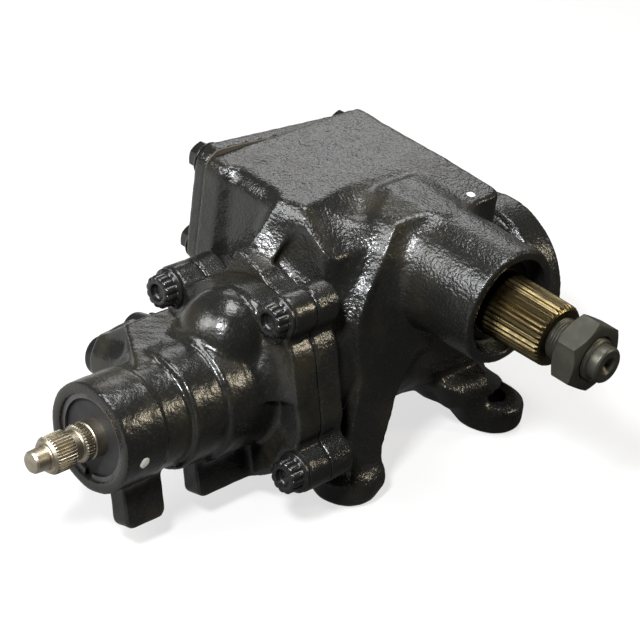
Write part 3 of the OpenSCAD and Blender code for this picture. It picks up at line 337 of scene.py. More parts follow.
def cut_node(node: str, axis: Axis, place: float, above: bool) -> Shape:
    """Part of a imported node, cut off square across an axis.

    Args:
        node: name of the node.
        axis: axis across which it is cut.
        place: where it is cut, about the two axes.
        above: keep what lies above that place, or else what lies below it.

    Returns:
        The kept part, with its cut end closed.
    """
    built = bmesh.new()
    built.from_mesh(frame["nodes"][node].data)
    bmesh.ops.remove_doubles(built, verts=built.verts, dist=MERGE_M)
    at = Vector(DATUM.origin * MM)
    at[axis.value] += place * MM
    cut = bmesh.ops.bisect_plane(
        built,
        geom=[*built.verts, *built.edges, *built.faces],
        plane_co=at,
        plane_no=Vector([float(i == axis.value) for i in range(3)]),
        clear_outer=not above,
        clear_inner=above,
    )
    edges = [e for e in cut["geom_cut"] if isinstance(e, bmesh.types.BMEdge)]
    bmesh.ops.triangle_fill(built, edges=edges, use_beauty=True)
    built.verts.index_update()
    points = np.array([v.co[:] for v in built.verts]) / MM - DATUM.origin
    faces = [[v.index for v in f.verts] for f in built.faces]
    built.free()
    return Shape(points, faces)


def rectangle(u: Pair, v: Pair) -> list[Pair]:
    """Corners of a rectangle between two places on each axis."""
    return [(u[0], v[0]), (u[1], v[0]), (u[1], v[1]), (u[0], v[1])]


def join(a: np.ndarray, b: np.ndarray, fillet: float | np.ndarray) -> np.ndarray:
    """Union of two fields, with a fillet where they meet."""
    near = np.clip(0.5 + 0.5 * (b - a) / fillet, 0, 1)
    return b + (a - b) * near - fillet * near * (1 - near)


def meet(a: np.ndarray, b: np.ndarray, rounding: float) -> np.ndarray:
    """What two fields share, with their common edge rounded."""
    return -join(-a, -b, rounding)


def carve(a: np.ndarray, b: np.ndarray, rounding: float) -> np.ndarray:
    """A field with another one cut out of it, the edge of the cut rounded."""
    return meet(a, -b, rounding)


class Field:
    """Signed distances to a casting on a regular grid, in millimetres."""

    def __init__(self, low: Triple, high: Triple, step: float) -> None:
        """Lay out the grid.

        Args:
            low: lowest corner.
            high: highest corner.
            step: distance between grid points.
        """
        self.low = np.array(low, np.float32)
        self.step = step
        self.grid: list[np.ndarray] = []
        for i in range(3):
            count = math.ceil((high[i] - low[i]) / step) + 1
            shape = [1, 1, 1]
            shape[i] = count
            self.grid.append((low[i] + step * np.arange(count, dtype=np.float32)).reshape(shape))

    def _across(self, axis: Axis) -> list[np.ndarray]:
        """Grid coordinates across an axis."""
        return [self.grid[i] for i in range(3) if i != axis.value]

    @staticmethod
    def _capped(side: np.ndarray, along: np.ndarray, span: Pair, edge: float) -> np.ndarray:
        """Distance to an outline drawn out along a line.

        Args:
            side: distance to the outline in the plane across the line.
            along: places along the line.
            span: its two ends.
            edge: radius that its end edges are rounded to.

        Returns:
            Distance at each grid point.
        """
        middle, half = (span[0] + span[1]) / 2, (span[1] - span[0]) / 2
        over_side = side + edge
        over_end = np.abs(along - middle) - half + edge
        corner = np.hypot(np.maximum(over_side, 0), np.maximum(over_end, 0))
        return np.minimum(np.maximum(over_side, over_end), 0) + corner - edge

    @staticmethod
    def _outlined(u: np.ndarray, v: np.ndarray, outline: Outline) -> np.ndarray:
        """Distance to a closed outline in its plane.

        Args:
            u: first coordinate of each point.
            v: second coordinate of each point.
            outline: corners of the outline.

        Returns:
            Distance at each point, below nought inside.
        """
        nearest = np.full(u.shape, np.inf, np.float32)
        inside = np.zeros(u.shape, bool)
        for (u0, v0), (u1, v1) in zip(outline, [*outline[1:], outline[0]]):
            du, dv = u1 - u0, v1 - v0
            t = np.clip(((u - u0) * du + (v - v0) * dv) / (du * du + dv * dv), 0, 1)
            nearest = np.minimum(nearest, np.hypot(u - u0 - t * du, v - v0 - t * dv))
            if dv:
                crossed = (v0 <= v) != (v1 <= v)
                inside ^= crossed & (u < u0 + (v - v0) / dv * du)
        return np.where(inside, -nearest, nearest)

    def rod(
        self, axis: Axis, centre: Pair, span: Pair, radius: float, edge: float = 0.0, end_r: float = 0.0
    ) -> np.ndarray:
        """Distance to a rod or a slim cone.

        Args:
            axis: axis that the rod runs along.
            centre: its place across the axis.
            span: its two ends.
            radius: its radius, at the lower end if it tapers.
            edge: radius of its end edges.
            end_r: radius at the upper end, if it tapers.

        Returns:
            Distance at each grid point.
        """
        u, v = self._across(axis)
        side = np.hypot(u - centre[0], v - centre[1]) - radius
        if end_r:
            slope = (end_r - radius) / (span[1] - span[0])
            along = np.clip(self.grid[axis.value], *span) - span[0]
            side = (side - slope * along) * math.cos(math.atan(slope))
        return self._capped(side, self.grid[axis.value], span, edge)

    def prism(self, axis: Axis, outline: Outline, span: Pair, grow: float, edge: float) -> np.ndarray:
        """Distance to an outline drawn out along an axis.

        Args:
            axis: axis that it is drawn along.
            outline: corners in the plane across the axis.
            span: its two ends.
            grow: distance by which the outline is grown, which rounds its corners.
            edge: radius of its end edges.

        Returns:
            Distance at each grid point.
        """
        side = self._outlined(*np.broadcast_arrays(*self._across(axis)), outline)
        return self._capped(side - np.float32(grow), self.grid[axis.value], span, edge)

    def slab(
        self, at: Triple, u: Triple, v: Triple, outline: Outline, thick: float, edge: float
    ) -> np.ndarray:
        """Distance to a flat bar that lies at any angle.

        Args:
            at: a point on its face.
            u: first direction along the face.
            v: second direction, square to the first.
            outline: corners of the face along the two directions.
            thick: thickness behind the face.
            edge: radius of its edges.

        Returns:
            Distance at each grid point.
        """
        places = []
        for line in (u, v, np.cross(u, v)):
            places.append(sum(np.float32(c) * (g - np.float32(a)) for c, g, a in zip(line, self.grid, at)))
        return self._capped(self._outlined(*places[:2], outline), places[2], (-thick, 0.0), edge)

    def beyond(self, axis: Axis, place: float) -> np.ndarray:
        """Distance past a plane across an axis."""
        return self.grid[axis.value] - np.float32(place)

    def faced(
        self, cast: np.ndarray, planes: Sequence[tuple[Axis, float, bool]], soft: float
    ) -> np.ndarray:
        """Cut a field off square at planes across the axes.

        Args:
            cast: the field.
            planes: axis and place of each, and whether it is an upper face.
            soft: radius of the new edges.

        Returns:
            The cut field.
        """
        for axis, place, upper in planes:
            past = self.beyond(axis, place) if upper else place - self.grid[axis.value]
            cast = meet(cast, past, soft)
        return cast

    def bored(
        self,
        cast: np.ndarray,
        axis: Axis,
        centre: Pair,
        bores: Sequence[Triple],
        soft: float,
        edge: float = 0.0,
    ) -> np.ndarray:
        """Cut round holes out of a field.

        Args:
            cast: the field.
            axis: axis that the holes run along.
            centre: their place across the axis.
            bores: the two ends and the radius of each.
            soft: radius of the new edges.
            edge: radius inside, at the holes' ends.

        Returns:
            The cut field.
        """
        for low, high, radius in bores:
            cast = carve(cast, self.rod(axis, centre, (low, high), radius, edge), soft)
        return cast

    def ripple(self, depth: float, length: float) -> np.ndarray:
        """Uneven surface of a sand mould.

        Args:
            depth: height of the ripples.
            length: distance between them.

        Returns:
            An amount to add to a field.
        """
        x, y, z = (g * np.float32(TURN / length) for g in self.grid)
        slow = np.sin(x + 1.7 * np.sin(0.61 * y)) + np.sin(1.13 * y + 1.3 * np.sin(0.73 * z))
        quick = np.sin(2.3 * x - 1.9 * z) * np.sin(2.1 * y + 0.7)
        quick = quick + np.sin(1.21 * z + 1.1 * np.sin(0.57 * x))
        return np.float32(depth / 3) * (slow + quick)

    def skin(self, values: np.ndarray, most_faces: int) -> Shape:
        """Skin the casting where the distance is nought.

        Args:
            values: distance at each grid point.
            most_faces: the skin is thinned to about this many triangles.

        Returns:
            The closed skin.
        """
        shape = tuple(g.size for g in self.grid)
        full = np.ascontiguousarray(np.broadcast_to(values, shape), np.float32)
        band = self.step * 4
        grid = openvdb.FloatGrid(float(band))
        grid.copyFromArray(np.clip(full, -band, band))
        points, quads = grid.convertToQuads()
        mesh = bpy.data.meshes.new("skin")
        mesh.from_pydata(points * self.step + self.low, [], quads[:, ::-1])
        thinned = bpy.data.objects.new("skin", mesh)
        bpy.context.scene.collection.objects.link(thinned)
        thin = thinned.modifiers.new("thin", "DECIMATE")
        thin.ratio = min(1.0, most_faces / (2 * len(quads)))
        result = thinned.evaluated_get(bpy.context.evaluated_depsgraph_get()).to_mesh()
        places = np.empty(len(result.vertices) * 3, np.float32)
        result.vertices.foreach_get("co", places)
        faces = [tuple(p.vertices) for p in result.polygons]
        bpy.data.objects.remove(thinned)
        bpy.data.meshes.remove(mesh)
        return Shape(places.reshape(-1, 3), faces)


# Finishes


class Sock:
    """A shader socket that takes part in Python arithmetic."""

    def __init__(self, nodes: "Nodes", socket: bpy.types.NodeSocket) -> None:
        """Wrap an output socket of a node tree."""
        self.nodes = nodes
        self.socket = socket

    def _math(self, operation: str, a: "Sock | float", b: "Sock | float") -> "Sock":
        """A Math node on two values."""
        return self.nodes.make("ShaderNodeMath", {"operation": operation}, {0: a, 1: b})

    def __add__(self, other: "Sock | float") -> "Sock":
        """Sum."""
        return self._math("ADD", self, other)

    def __sub__(self, other: "Sock | float") -> "Sock":
        """Difference."""
        return self._math("SUBTRACT", self, other)

    def __mul__(self, other: "Sock | float") -> "Sock":
        """Product."""
        return self._math("MULTIPLY", self, other)

    def __rsub__(self, other: float) -> "Sock":
        """Difference from a number."""
        return self._math("SUBTRACT", other, self)

    __radd__ = __add__
    __rmul__ = __mul__


Value = Sock | float | Sequence[float]


class Nodes:
    """A node tree that is written as expressions."""

    def __init__(self, tree: bpy.types.NodeTree) -> None:
        """Take a tree and empty it."""
        self.tree = tree
        tree.nodes.clear()

    def make(
        self, kind: str, settings: dict[str, str], sockets: dict[int | str, Value], output: int | str = 0
    ) -> Sock:
        """Add a node.

        Args:
            kind: the node's type.
            settings: its settings, set first.
            sockets: values or links of its inputs, by name or number.
            output: the output to go on with.

        Returns:
            That output.
        """
        node = self.tree.nodes.new(kind)
        for name, setting in settings.items():
            setattr(node, name, setting)
        for name, given in sockets.items():
            if isinstance(given, Sock):
                self.tree.links.new(given.socket, node.inputs[name])
            else:
                node.inputs[name].default_value = given
        return Sock(self, node.outputs[output] if len(node.outputs) else node.inputs[0])

    def place(self) -> Sock:
        """A point of the surface in the piece's own frame, in metres."""
        return self.make("ShaderNodeTexCoord", {}, {}, "Object")

    def ray(self, kind: str) -> Sock:
        """Whether the light path is of a kind, as 0 or 1."""
        return self.make("ShaderNodeLightPath", {}, {}, f"Is {kind} Ray")

    def vectors(self, operation: str, a: Value, b: Value, output: str = "Value") -> Sock:
        """A Vector Math node on two vectors."""
        return self.make("ShaderNodeVectorMath", {"operation": operation}, {0: a, 1: b}, output)

    def noise(self, length_mm: float, detail: float, at: Sock | None = None) -> Sock:
        """Noise from 0 to 1 with features of about a given length, at the surface or elsewhere."""
        sockets = {"Vector": at or self.place(), "Scale": 1 / (length_mm * MM), "Detail": detail}
        return self.make("ShaderNodeTexNoise", {}, sockets, 0)

    def steps(self, value: Sock, low: float, high: float) -> Sock:
        """A value spread from 0 at low to 1 at high, smoothly."""
        sockets = {"Value": value, "From Min": low, "From Max": high}
        return self.make("ShaderNodeMapRange", {"interpolation_type": "SMOOTHSTEP"}, sockets)

    def blend(self, mask: Sock, a: Value, b: Value) -> Sock:
        """Colour a where the mask is 0 and colour b where it is 1."""
        sides = [c if isinstance(c, Sock) else (*c, 1.0) for c in (a, b)]
        return self.make("ShaderNodeMix", {"data_type": "RGBA"}, {0: mask, 6: sides[0], 7: sides[1]}, 2)

    def bump(self, height: Sock, height_mm: float) -> Sock:
        """Normal of a surface with a height pattern on it."""
        sockets = {"Height": height, "Distance": height_mm * MM, "Strength": 1.0}
        return self.make("ShaderNodeBump", {}, sockets)


@dataclass(frozen=True)
class Finish:
    """What every finish has: a name, a main colour, a roughness and how metallic it is."""

    name: str
    colour: Triple
    rough: float
    metal: float = 0.0

    def material(self) -> bpy.types.Material:
        """Make the material of this finish, once.

        Returns:
            The material.
        """
        made = bpy.data.materials.get(self.name)
        if not made:
            made = bpy.data.materials.new(self.name)
            made.use_nodes = True
            nodes = Nodes(made.node_tree)
            surface = nodes.make("ShaderNodeBsdfPrincipled", {}, self.sockets(nodes))
            nodes.make("ShaderNodeOutputMaterial", {}, {"Surface": surface})
        return made

    def sockets(self, nodes: Nodes) -> dict[str, Value]:
        """Inputs of the surface shader."""
        raise NotImplementedError


@dataclass(frozen=True)
class CastPaint(Finish):
    """Black paint over sand-cast iron, with dabs of marker paint at given places and radii."""

    marks: Sequence[tuple[Triple, float]] = ()
    grain_height: float = 0.42
    grain_mm: float = 1.5
    warm: Triple = (0.024, 0.021, 0.012)
    worn: Triple = (0.1, 0.097, 0.09)
    mark: Triple = (0.8, 0.8, 0.78)

    def marked(self, nodes: Nodes) -> Sock | float:
        """Mask the dabs of marker paint.

        Args:
            nodes: the material's node tree.

        Returns:
            The mask, 1 on a dab.
        """
        mask: Sock | float = 0.0
        for at, radius in self.marks:
            place = tuple(float(v) for v in (np.array(at) + DATUM.origin) * MM)
            away = nodes.vectors("DISTANCE", nodes.place(), place) * (1 / MM)
            mask = mask + (1 - nodes.steps(away + nodes.noise(2, 2.0) * 0.8, radius, radius + 0.5))
        return mask

    def sockets(self, nodes: Nodes) -> dict[str, Value]:
        """Pebbled paint, warmer in patches, rubbed grey on its edges.

        Args:
            nodes: the material's node tree.

        Returns:
            Inputs of the surface shader.
        """
        grain = nodes.noise(self.grain_mm, 1.5)
        pits = nodes.noise(self.grain_mm * 3.1, 2.0)
        patches = nodes.steps(nodes.noise(28, 3.0), 0.46, 0.72)
        edge = nodes.make("ShaderNodeNewGeometry", {}, {}, "Pointiness")
        rubbed = nodes.steps(edge, 0.53, 0.62) * nodes.steps(nodes.noise(5, 4.0), 0.35, 0.65)
        base = nodes.blend(patches * 0.6, self.colour, self.warm)
        base = nodes.blend(nodes.steps(grain, 0.55, 0.75) * 0.06, base, self.worn)
        base = nodes.blend(rubbed * 0.25, base, self.worn)
        return {
            "Base Color": nodes.blend(self.marked(nodes), base, self.mark),
            "Roughness": self.rough + patches * 0.06 + (grain - 0.5) * 0.15,
            "Normal": nodes.bump(grain * 0.8 + pits * 0.5, self.grain_height),
        }


@dataclass(frozen=True)
class Steel(Finish):
    """Machined steel with fine turning marks and a film of old oil."""

    stain: Triple = (0.12, 0.09, 0.05)
    stained: float = 0.35
    axis: Axis = Axis.Y
    mark_mm: float = 0.35

    def sockets(self, nodes: Nodes) -> dict[str, Value]:
        """Turning marks round the axis, and stains in patches.

        Args:
            nodes: the material's node tree.

        Returns:
            Inputs of the surface shader.
        """
        along = [0.05, 0.05, 0.05]
        along[self.axis.value] = 1.0
        marks = nodes.noise(self.mark_mm, 3.0, nodes.vectors("MULTIPLY", nodes.place(), along, "Vector"))
        cloud = nodes.steps(nodes.noise(6, 4.0), 0.42, 0.7)
        base = nodes.blend(cloud * self.stained, self.colour, self.stain)
        return {
            "Base Color": nodes.blend(nodes.steps(marks, 0.35, 0.75) * 0.25, base, self.stain),
            "Metallic": self.metal,
            "Roughness": self.rough + cloud * 0.15 + (marks - 0.5) * 0.15,
            "Normal": nodes.bump(marks, 0.03),
        }


@dataclass(frozen=True)
class Grained(Finish):
    """A moulded, pressed or coated surface with fine grain and faint clouds."""

    cloud: Triple = (0.1, 0.1, 0.1)
    grain_mm: float = 0.6
    grain_height: float = 0.05

    def sockets(self, nodes: Nodes) -> dict[str, Value]:
        """Fine grain, with the second colour in clouds.

        Args:
            nodes: the material's node tree.

        Returns:
            Inputs of the surface shader.
        """
        grain = nodes.noise(self.grain_mm, 3.0)
        clouds = nodes.steps(nodes.noise(9, 3.0), 0.4, 0.7)
        return {
            "Base Color": nodes.blend(clouds * 0.5, self.colour, self.cloud),
            "Metallic": self.metal,
            "Roughness": self.rough + (grain - 0.5) * 0.2,
            "Normal": nodes.bump(grain, self.grain_height),
        }


NOSE_MARKS = (((27.9, -183.6, -2.1), 3.0),)
GEAR_MARKS = (((26.0, 28.0, 78.5), 2.4), ((74.0, 29.5, 64.1), 2.6))
FINE_PAINT = CastPaint("cast_black_paint_fine", (0.0085, 0.0085, 0.0076), 0.25, 0.0, NOSE_MARKS, 0.18)
SLOT_FINISH: dict[Slot, Finish] = {
    Slot.CASTINGS: CastPaint("cast_black_paint", (0.009, 0.009, 0.0082), 0.26, 0.0, GEAR_MARKS),
    Slot.BOLTS: Grained("black_oxide_bolts", (0.007, 0.007, 0.007), 0.28, 0.0, (0.014, 0.013, 0.011)),
    Slot.PORTS: Grained("port_black_steel", (0.02, 0.02, 0.021), 0.3, 0.6, (0.05, 0.048, 0.042)),
    Slot.RUBBER: Grained("seal_rubber", (0.012, 0.012, 0.013), 0.6, 0.0, (0.03, 0.029, 0.027)),
    Slot.GASKET: Grained("gasket_fibre", (0.06, 0.052, 0.04), 0.8, 0.0, (0.11, 0.095, 0.07)),
    Slot.BRONZE: Steel("bush_bronze", (0.52, 0.36, 0.17), 0.35, 1.0, (0.2, 0.12, 0.05), 0.3, Axis.X),
    Slot.ZINC: Steel("zinc_plate", (0.15, 0.15, 0.145), 0.38, 1.0, (0.08, 0.075, 0.06), 0.5, Axis.X),
    Slot.BEARING: Steel("bearing_steel", (0.58, 0.57, 0.55), 0.24, 1.0, (0.3, 0.28, 0.24), 0.2),
    Slot.INPUT: Steel("input_shaft_steel", (0.4, 0.36, 0.28), 0.38, 1.0, (0.2, 0.165, 0.11), 0.5),
    Slot.VALVE: Steel("valve_ground_steel", (0.56, 0.55, 0.53), 0.22, 1.0, (0.3, 0.28, 0.25), 0.2),
    Slot.PTFE: Grained("ring_ptfe", (0.6, 0.56, 0.47), 0.5, 0.0, (0.5, 0.45, 0.36)),
    Slot.SECTOR: Steel(
        "pitman_shaft_steel", (0.115, 0.088, 0.042), 0.28, 1.0, (0.035, 0.027, 0.014), 0.55, Axis.X
    ),
    Slot.NUT: Grained("nut_phosphate", (0.055, 0.053, 0.042), 0.42, 0.6, (0.1, 0.095, 0.07)),
}


def add_piece(
    name: str,
    shape: Shape,
    body: Body,
    slot: Slot,
    stands_for: Sequence[str] = (),
    crease: float = 34.0,
    finish: Finish | None = None,
) -> None:
    """Make a piece from a shape, dress it and set it on its body.

    Args:
        name: the piece's name.
        shape: its shape about the two axes.
        body: the body that it rides on.
        slot: the record's material slot that it takes.
        stands_for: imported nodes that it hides.
        crease: edges that turn by more degrees than this stay sharp.
        finish: its finish, if not the slot's own.
    """
    mesh = bpy.data.meshes.new(name)
    mesh.from_pydata((shape.points + DATUM.origin) * MM, [], shape.faces)
    built = bmesh.new()
    built.from_mesh(mesh)
    bmesh.ops.remove_doubles(built, verts=built.verts, dist=MERGE_M)
    bmesh.ops.dissolve_degenerate(built, edges=built.edges, dist=MERGE_M)
    bmesh.ops.recalc_face_normals(built, faces=built.faces)
    built.to_mesh(mesh)
    built.free()
    mesh.shade_smooth()
    mesh.set_sharp_from_angle(angle=math.radians(crease))
    mesh.materials.append((finish or SLOT_FINISH[slot]).material())
    piece = bpy.data.objects.new(name, mesh)
    bpy.context.scene.collection.objects.link(piece)
    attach(piece, body.value)
    if stands_for:
        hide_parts(*stands_for)
    log.info("piece %s: %d faces on %s", name, len(mesh.polygons), body.value)


# Castings
#
# Some distances are scaled by a factor just below 1: they are measured along one axis from a
# face that leans, and the factor brings them down to the distance square to that face.


@dataclass
class Flange:
    """The joint between the two housings, with a lobe round each bolt."""

    radius: float = 51.0
    flat: float = 47.0
    lobe_r: float = 11.0
    lobe_root: float = 0.6
    bolt_circle_r: float = 57.0
    thick: float = 15.0
    edge: float = 1.2

    def bolts(self, clock: float) -> list[Pair]:
        """Bolt places across the worm axis, turned by an angle."""
        angles = [math.radians(45 + 90 * i) + clock for i in range(4)]
        return [(self.bolt_circle_r * math.cos(a), self.bolt_circle_r * math.sin(a)) for a in angles]

    def solid(self, space: Field, span: Pair, clock: float) -> np.ndarray:
        """Distance to the flange.

        Args:
            space: the casting's grid.
            span: its two faces along the worm axis.
            clock: angle that the lobes are turned by.

        Returns:
            Distance at each grid point.
        """
        disc = space.rod(Axis.Y, WORM_AXIS, span, self.radius, self.edge)
        across = space.grid[0] * math.cos(clock) + space.grid[2] * math.sin(clock)
        disc = meet(disc, np.abs(across) - self.flat, 2.0)
        for x, z in self.bolts(clock):
            line = [(x, z), (x * self.lobe_root, z * self.lobe_root)]
            disc = join(disc, space.prism(Axis.Y, line, span, self.lobe_r, self.edge), 3.0)
        return disc


FLANGE = Flange()
FLANGE_FACE = DATUM.joint_y - FLANGE.thick


@dataclass
class Casting:
    """A casting that is worked out on a grid of its own and then skinned."""

    step: float
    most_faces: int
    space: Field = field(init=False)


@dataclass
class GearHousing(Casting):
    """Main casting: barrel, sector chamber, boss, flange, gusset and mounting ears."""

    step: float = 1.1
    most_faces: int = 190_000
    barrel_r: float = 40.15
    bore_r: float = 34.15
    rim_r: float = 43.0
    rim_y: float = 80.0
    top_rise: float = 32.0
    cast_round: float = 8.0
    chamber_y: Pair = (-33.5, 45.5)
    chamber_x: float = 33.0
    chamber_floor: float = -4.0
    front_y: Pair = (-65.0, -16.0)
    front_x: float = 40.0
    front_floor: float = 30.0
    front_round: float = 11.0
    wall_x: Triple = (18.0, 0.12, 0.5)
    wall_y: float = -34.0
    wall_turn: float = 30.0
    ridge_x: Pair = (-9.0, -0.11)
    ridge_y: float = -56.0
    tilts: Outline = ((-65.0, 31.0), (-35.0, 27.0), (-12.0, 13.0), (25.0, 5.0))
    boss_r: Pair = (33.0, 31.0)
    mouth_r: float = 25.8
    mouth_x: float = 67.0
    seal_r: float = 23.0
    seal_x: float = 59.0
    bearing_r: float = 20.5
    room_r: float = 33.5
    room_x: float = 26.0
    room_rise: float = 10.0
    hub_room_r: float = 23.0
    plug_r: float = 36.0
    plug_y: float = 86.0
    gusset_lines: tuple[Triple, Triple] = ((-0.026, -0.643, -0.766), (0.89, 0.337, -0.313))
    gusset_at: Pair = (-19.3, -62.7)
    gusset_face: Outline = ((-9.0, 0.0), (-9.0, 11.4), (-4.6, 11.4), (32.6, 14.8), (26.9, 0.0))
    pad_face: Outline = ((-26.0, 40.0), (-21.0, 57.0), (-5.0, 53.0), (3.0, 40.0))
    bowl_at: Pair = (-22.8, -57.5)
    bowl_face: Outline = ((-6.0, 6.0), (-6.0, 46.0), (28.0, 46.0), (33.0, 6.0))
    leg_x: float = 60.0
    leg_face: Triple = (28.0, 80.0, 0.2)
    rib: float = 12.0
    rib_z: float = 48.0
    ear_r: float = 17.5
    ear_thick: float = 16.0
    bolt_r: float = 5.52
    bolt_depth: float = 24.0
    mount_r: float = 6.75
    spot: float = 5.0
    cover_lobe_r: float = 10.0
    cover_rim: float = 12.0
    cover_bolt_r: float = 4.52
    cover_bolt_depth: float = 10.0
    cover_bolts: Outline = ((-57.0, 24.0), (-57.0, -24.0), (45.0, -30.0), (45.0, 15.0))

    def top_z(self) -> float:
        """Height of the top face."""
        return DATUM.sector_z + self.top_rise

    def ear_top(self) -> float:
        """Height of the ears' upper faces."""
        return DATUM.sole_z + self.ear_thick

    def ear_places(self) -> list[Pair]:
        """Places of the mounting holes, seen from above."""
        return [tuple(DATUM.mount(f"{name}_mount_hole")[:2]) for name in EARS]

    def cover_outline(self) -> list[Pair]:
        """Cover bolt places across the sector axis, in order round the cover."""
        return [(y, DATUM.sector_z + rise) for y, rise in self.cover_bolts]

    def build(self) -> None:
        """Skin the casting and set it on the housing."""
        low = (DATUM.cover_x - 3, DATUM.joint_y - 3, DATUM.sole_z - 3)
        high = (DATUM.boss_x + 3, DATUM.rear_y + 3, self.top_z() + 6)
        self.space = Field(low, high, self.step)
        cast = self.legs(self.blocks()) + self.space.ripple(0.18, 19.0)
        shape = self.space.skin(self.machined(cast), self.most_faces)
        nodes = ["gear_housing", *(f"{name}_mount_ear" for name in EARS)]
        add_piece("gear_housing_cast", shape, Body.HOUSING, Slot.CASTINGS, nodes)

    def top_block(self) -> np.ndarray:
        """Sector chamber and front block under one top, which slopes down beside its ridge.

        Returns:
            Distance at each grid point.
        """
        space, r, top = self.space, self.cast_round, self.top_z()
        x, y, z = space.grid
        far = DATUM.cover_x - OVERRUN
        y0, y1 = self.chamber_y
        floor = self.chamber_floor
        side = [(y0 + r, top - r), (y1 - r, top - r), (y1 - r, floor), (y0, floor)]
        chamber = space.prism(Axis.X, side, (far, self.chamber_x), r, 7.0)
        near, ceiling = self.front_y[0] + self.front_round, top - self.front_round
        side = rectangle((near, self.front_y[1]), (ceiling, self.front_floor))
        front = space.prism(Axis.X, side, (far, self.front_x), self.front_round, 4.0)
        wall, lean, turn = self.wall_x
        wall_x = wall + (top - z) * lean + np.clip(y - self.wall_y, 0, self.wall_turn) * turn
        front = meet(front, (x - wall_x) * 0.95, 7.0)
        tilt = np.radians(np.interp(y, *zip(*self.tilts))).astype(np.float32)
        ridge_x = self.ridge_x[0] + self.ridge_x[1] * (y - self.ridge_y)
        drop = np.maximum(x - ridge_x, 0) * np.tan(tilt)
        return meet(join(chamber, front, 6.0), (z - top + drop) * np.cos(tilt), 1.6)

    def blocks(self) -> np.ndarray:
        """Barrel, chamber, cover face, gusset, boss and flange.

        Returns:
            Distance at each grid point.
        """
        space, top = self.space, self.top_z()
        barrel = space.rod(Axis.Y, WORM_AXIS, (DATUM.joint_y, DATUM.rear_y), self.barrel_r, 2.0)
        rim = space.rod(Axis.Y, WORM_AXIS, (self.rim_y, DATUM.rear_y), self.rim_r, 1.5)
        body = join(join(barrel, rim, 3.0), self.top_block(), 15.0)
        span = (DATUM.cover_x - OVERRUN, DATUM.cover_x + self.cover_rim)
        cover = space.prism(Axis.X, self.cover_outline(), span, self.cover_lobe_r, 2.0)
        body = join(join(body, cover, 9.0), self.gusset(), 9.0)
        body = meet(body, space.beyond(Axis.Z, top), 1.0)
        boss = space.rod(Axis.X, SECTOR_AXIS, (0, DATUM.boss_x), self.boss_r[0], 1.6, self.boss_r[1])
        body = meet(join(body, boss, 7.0), space.beyond(Axis.Z, top + 1.0), 3.0)
        flange = FLANGE.solid(space, (DATUM.joint_y, DATUM.joint_y + FLANGE.thick), VALVE_CLOCK)
        return join(body, flange, 5.0)

    def gusset(self) -> np.ndarray:
        """Sloping bar from the top face down to a pad at the joint, with a low bowl beside it.

        Returns:
            Distance at each grid point.
        """
        space, top = self.space, self.top_z()
        bar = space.slab((*self.gusset_at, top), *self.gusset_lines, self.gusset_face, 14.0, 0.8)
        bar = meet(bar, space.beyond(Axis.Z, top + 0.5), 1.0)
        pad = space.prism(Axis.Y, self.pad_face, (DATUM.joint_y, DATUM.joint_y + 12), 2.0, 1.0)
        bowl = space.slab((*self.bowl_at, top - 4.2), *self.gusset_lines, self.bowl_face, 16.0, 2.0)
        bowl = meet(bowl, space.beyond(Axis.Z, top - 4.0), 1.0)
        return join(bowl, join(bar, pad, 1.5), 3.0)

    def front_leg(self) -> np.ndarray:
        """Thin rib below the boss, which broadens into the front leg.

        Returns:
            Distance at each grid point.
        """
        x, _, z = self.space.grid
        foot = self.ear_top() - 6
        side = [
            (-23.0, 87.0), (-30.0, 79.0), (-41.0, 61.6), (-50.0, 48.6), (-57.0, 34.0), (-56.5, 20.5),
            (-55.0, 5.0), (-59.0, -8.5), (-62.0, -20.0), (-64.0, -34.0), (-62.0, foot), (-42.0, foot),
            (-40.0, -36.0), (-33.0, -21.0), (-30.0, -13.0), (-23.0, -2.0), (-14.0, 6.0), (-3.0, 8.0),
            (6.0, 20.0), (8.0, 60.0),
        ]
        leg = self.space.prism(Axis.X, side, (0.0, self.leg_x), 0.0, 2.0)
        at_x, at_z, lean = self.leg_face
        face_x = at_x + (at_z - z) * lean
        back_x = face_x - self.rib - np.clip(self.rib_z - z, 0, self.leg_x)
        leg = meet(leg, (x - face_x) * 0.98, 1.6)
        leg = meet(leg, (back_x - x) * 0.7, 3.0)
        return meet(leg, self.space.beyond(Axis.Z, self.top_z() - 3.0), 3.0)

    def legs(self, body: np.ndarray) -> np.ndarray:
        """Add the webs that run down to the ears, and the ears.

        Args:
            body: distance to the rest of the casting.

        Returns:
            Distance at each grid point.
        """
        space, top = self.space, self.ear_top()
        fillet = np.interp(space.grid[2], (10.0, 40.0), (3.0, 15.0)).astype(np.float32)
        body = join(body, self.front_leg(), fillet)
        web = [
            (-28.0, -12.0), (0.0, -4.0), (54.0, 4.0), (66.0, -6.0), (72.0, -30.0), (60.0, -40.0),
            (32.0, -46.0), (14.0, -38.0), (0.0, -34.0), (-14.0, -33.0), (-30.0, -38.0),
        ]
        body = join(body, space.prism(Axis.X, web, (4.0, 24.0), 1.0, 5.0), 6.0)
        foot = [(20.0, -30.0), (28.0, -44.0), (46.0, top - 9), (66.0, top - 6), (66.0, -44.0), (50.0, -34.0)]
        body = join(body, space.prism(Axis.X, foot, (6.0, 44.0), 3.0, 11.0), 9.0)
        far = [(-16.0, -24.0), (-36.0, 2.0), (-44.0, -6.0), (-60.0, top - 3), (-34.0, top - 3)]
        body = join(body, space.prism(Axis.Y, far, (-25.0, 5.0), 1.0, 6.0), 8.0)
        for at in self.ear_places():
            body = join(body, space.rod(Axis.Z, at, (DATUM.sole_z, top), self.ear_r, 5.0), 9.0)
        return body

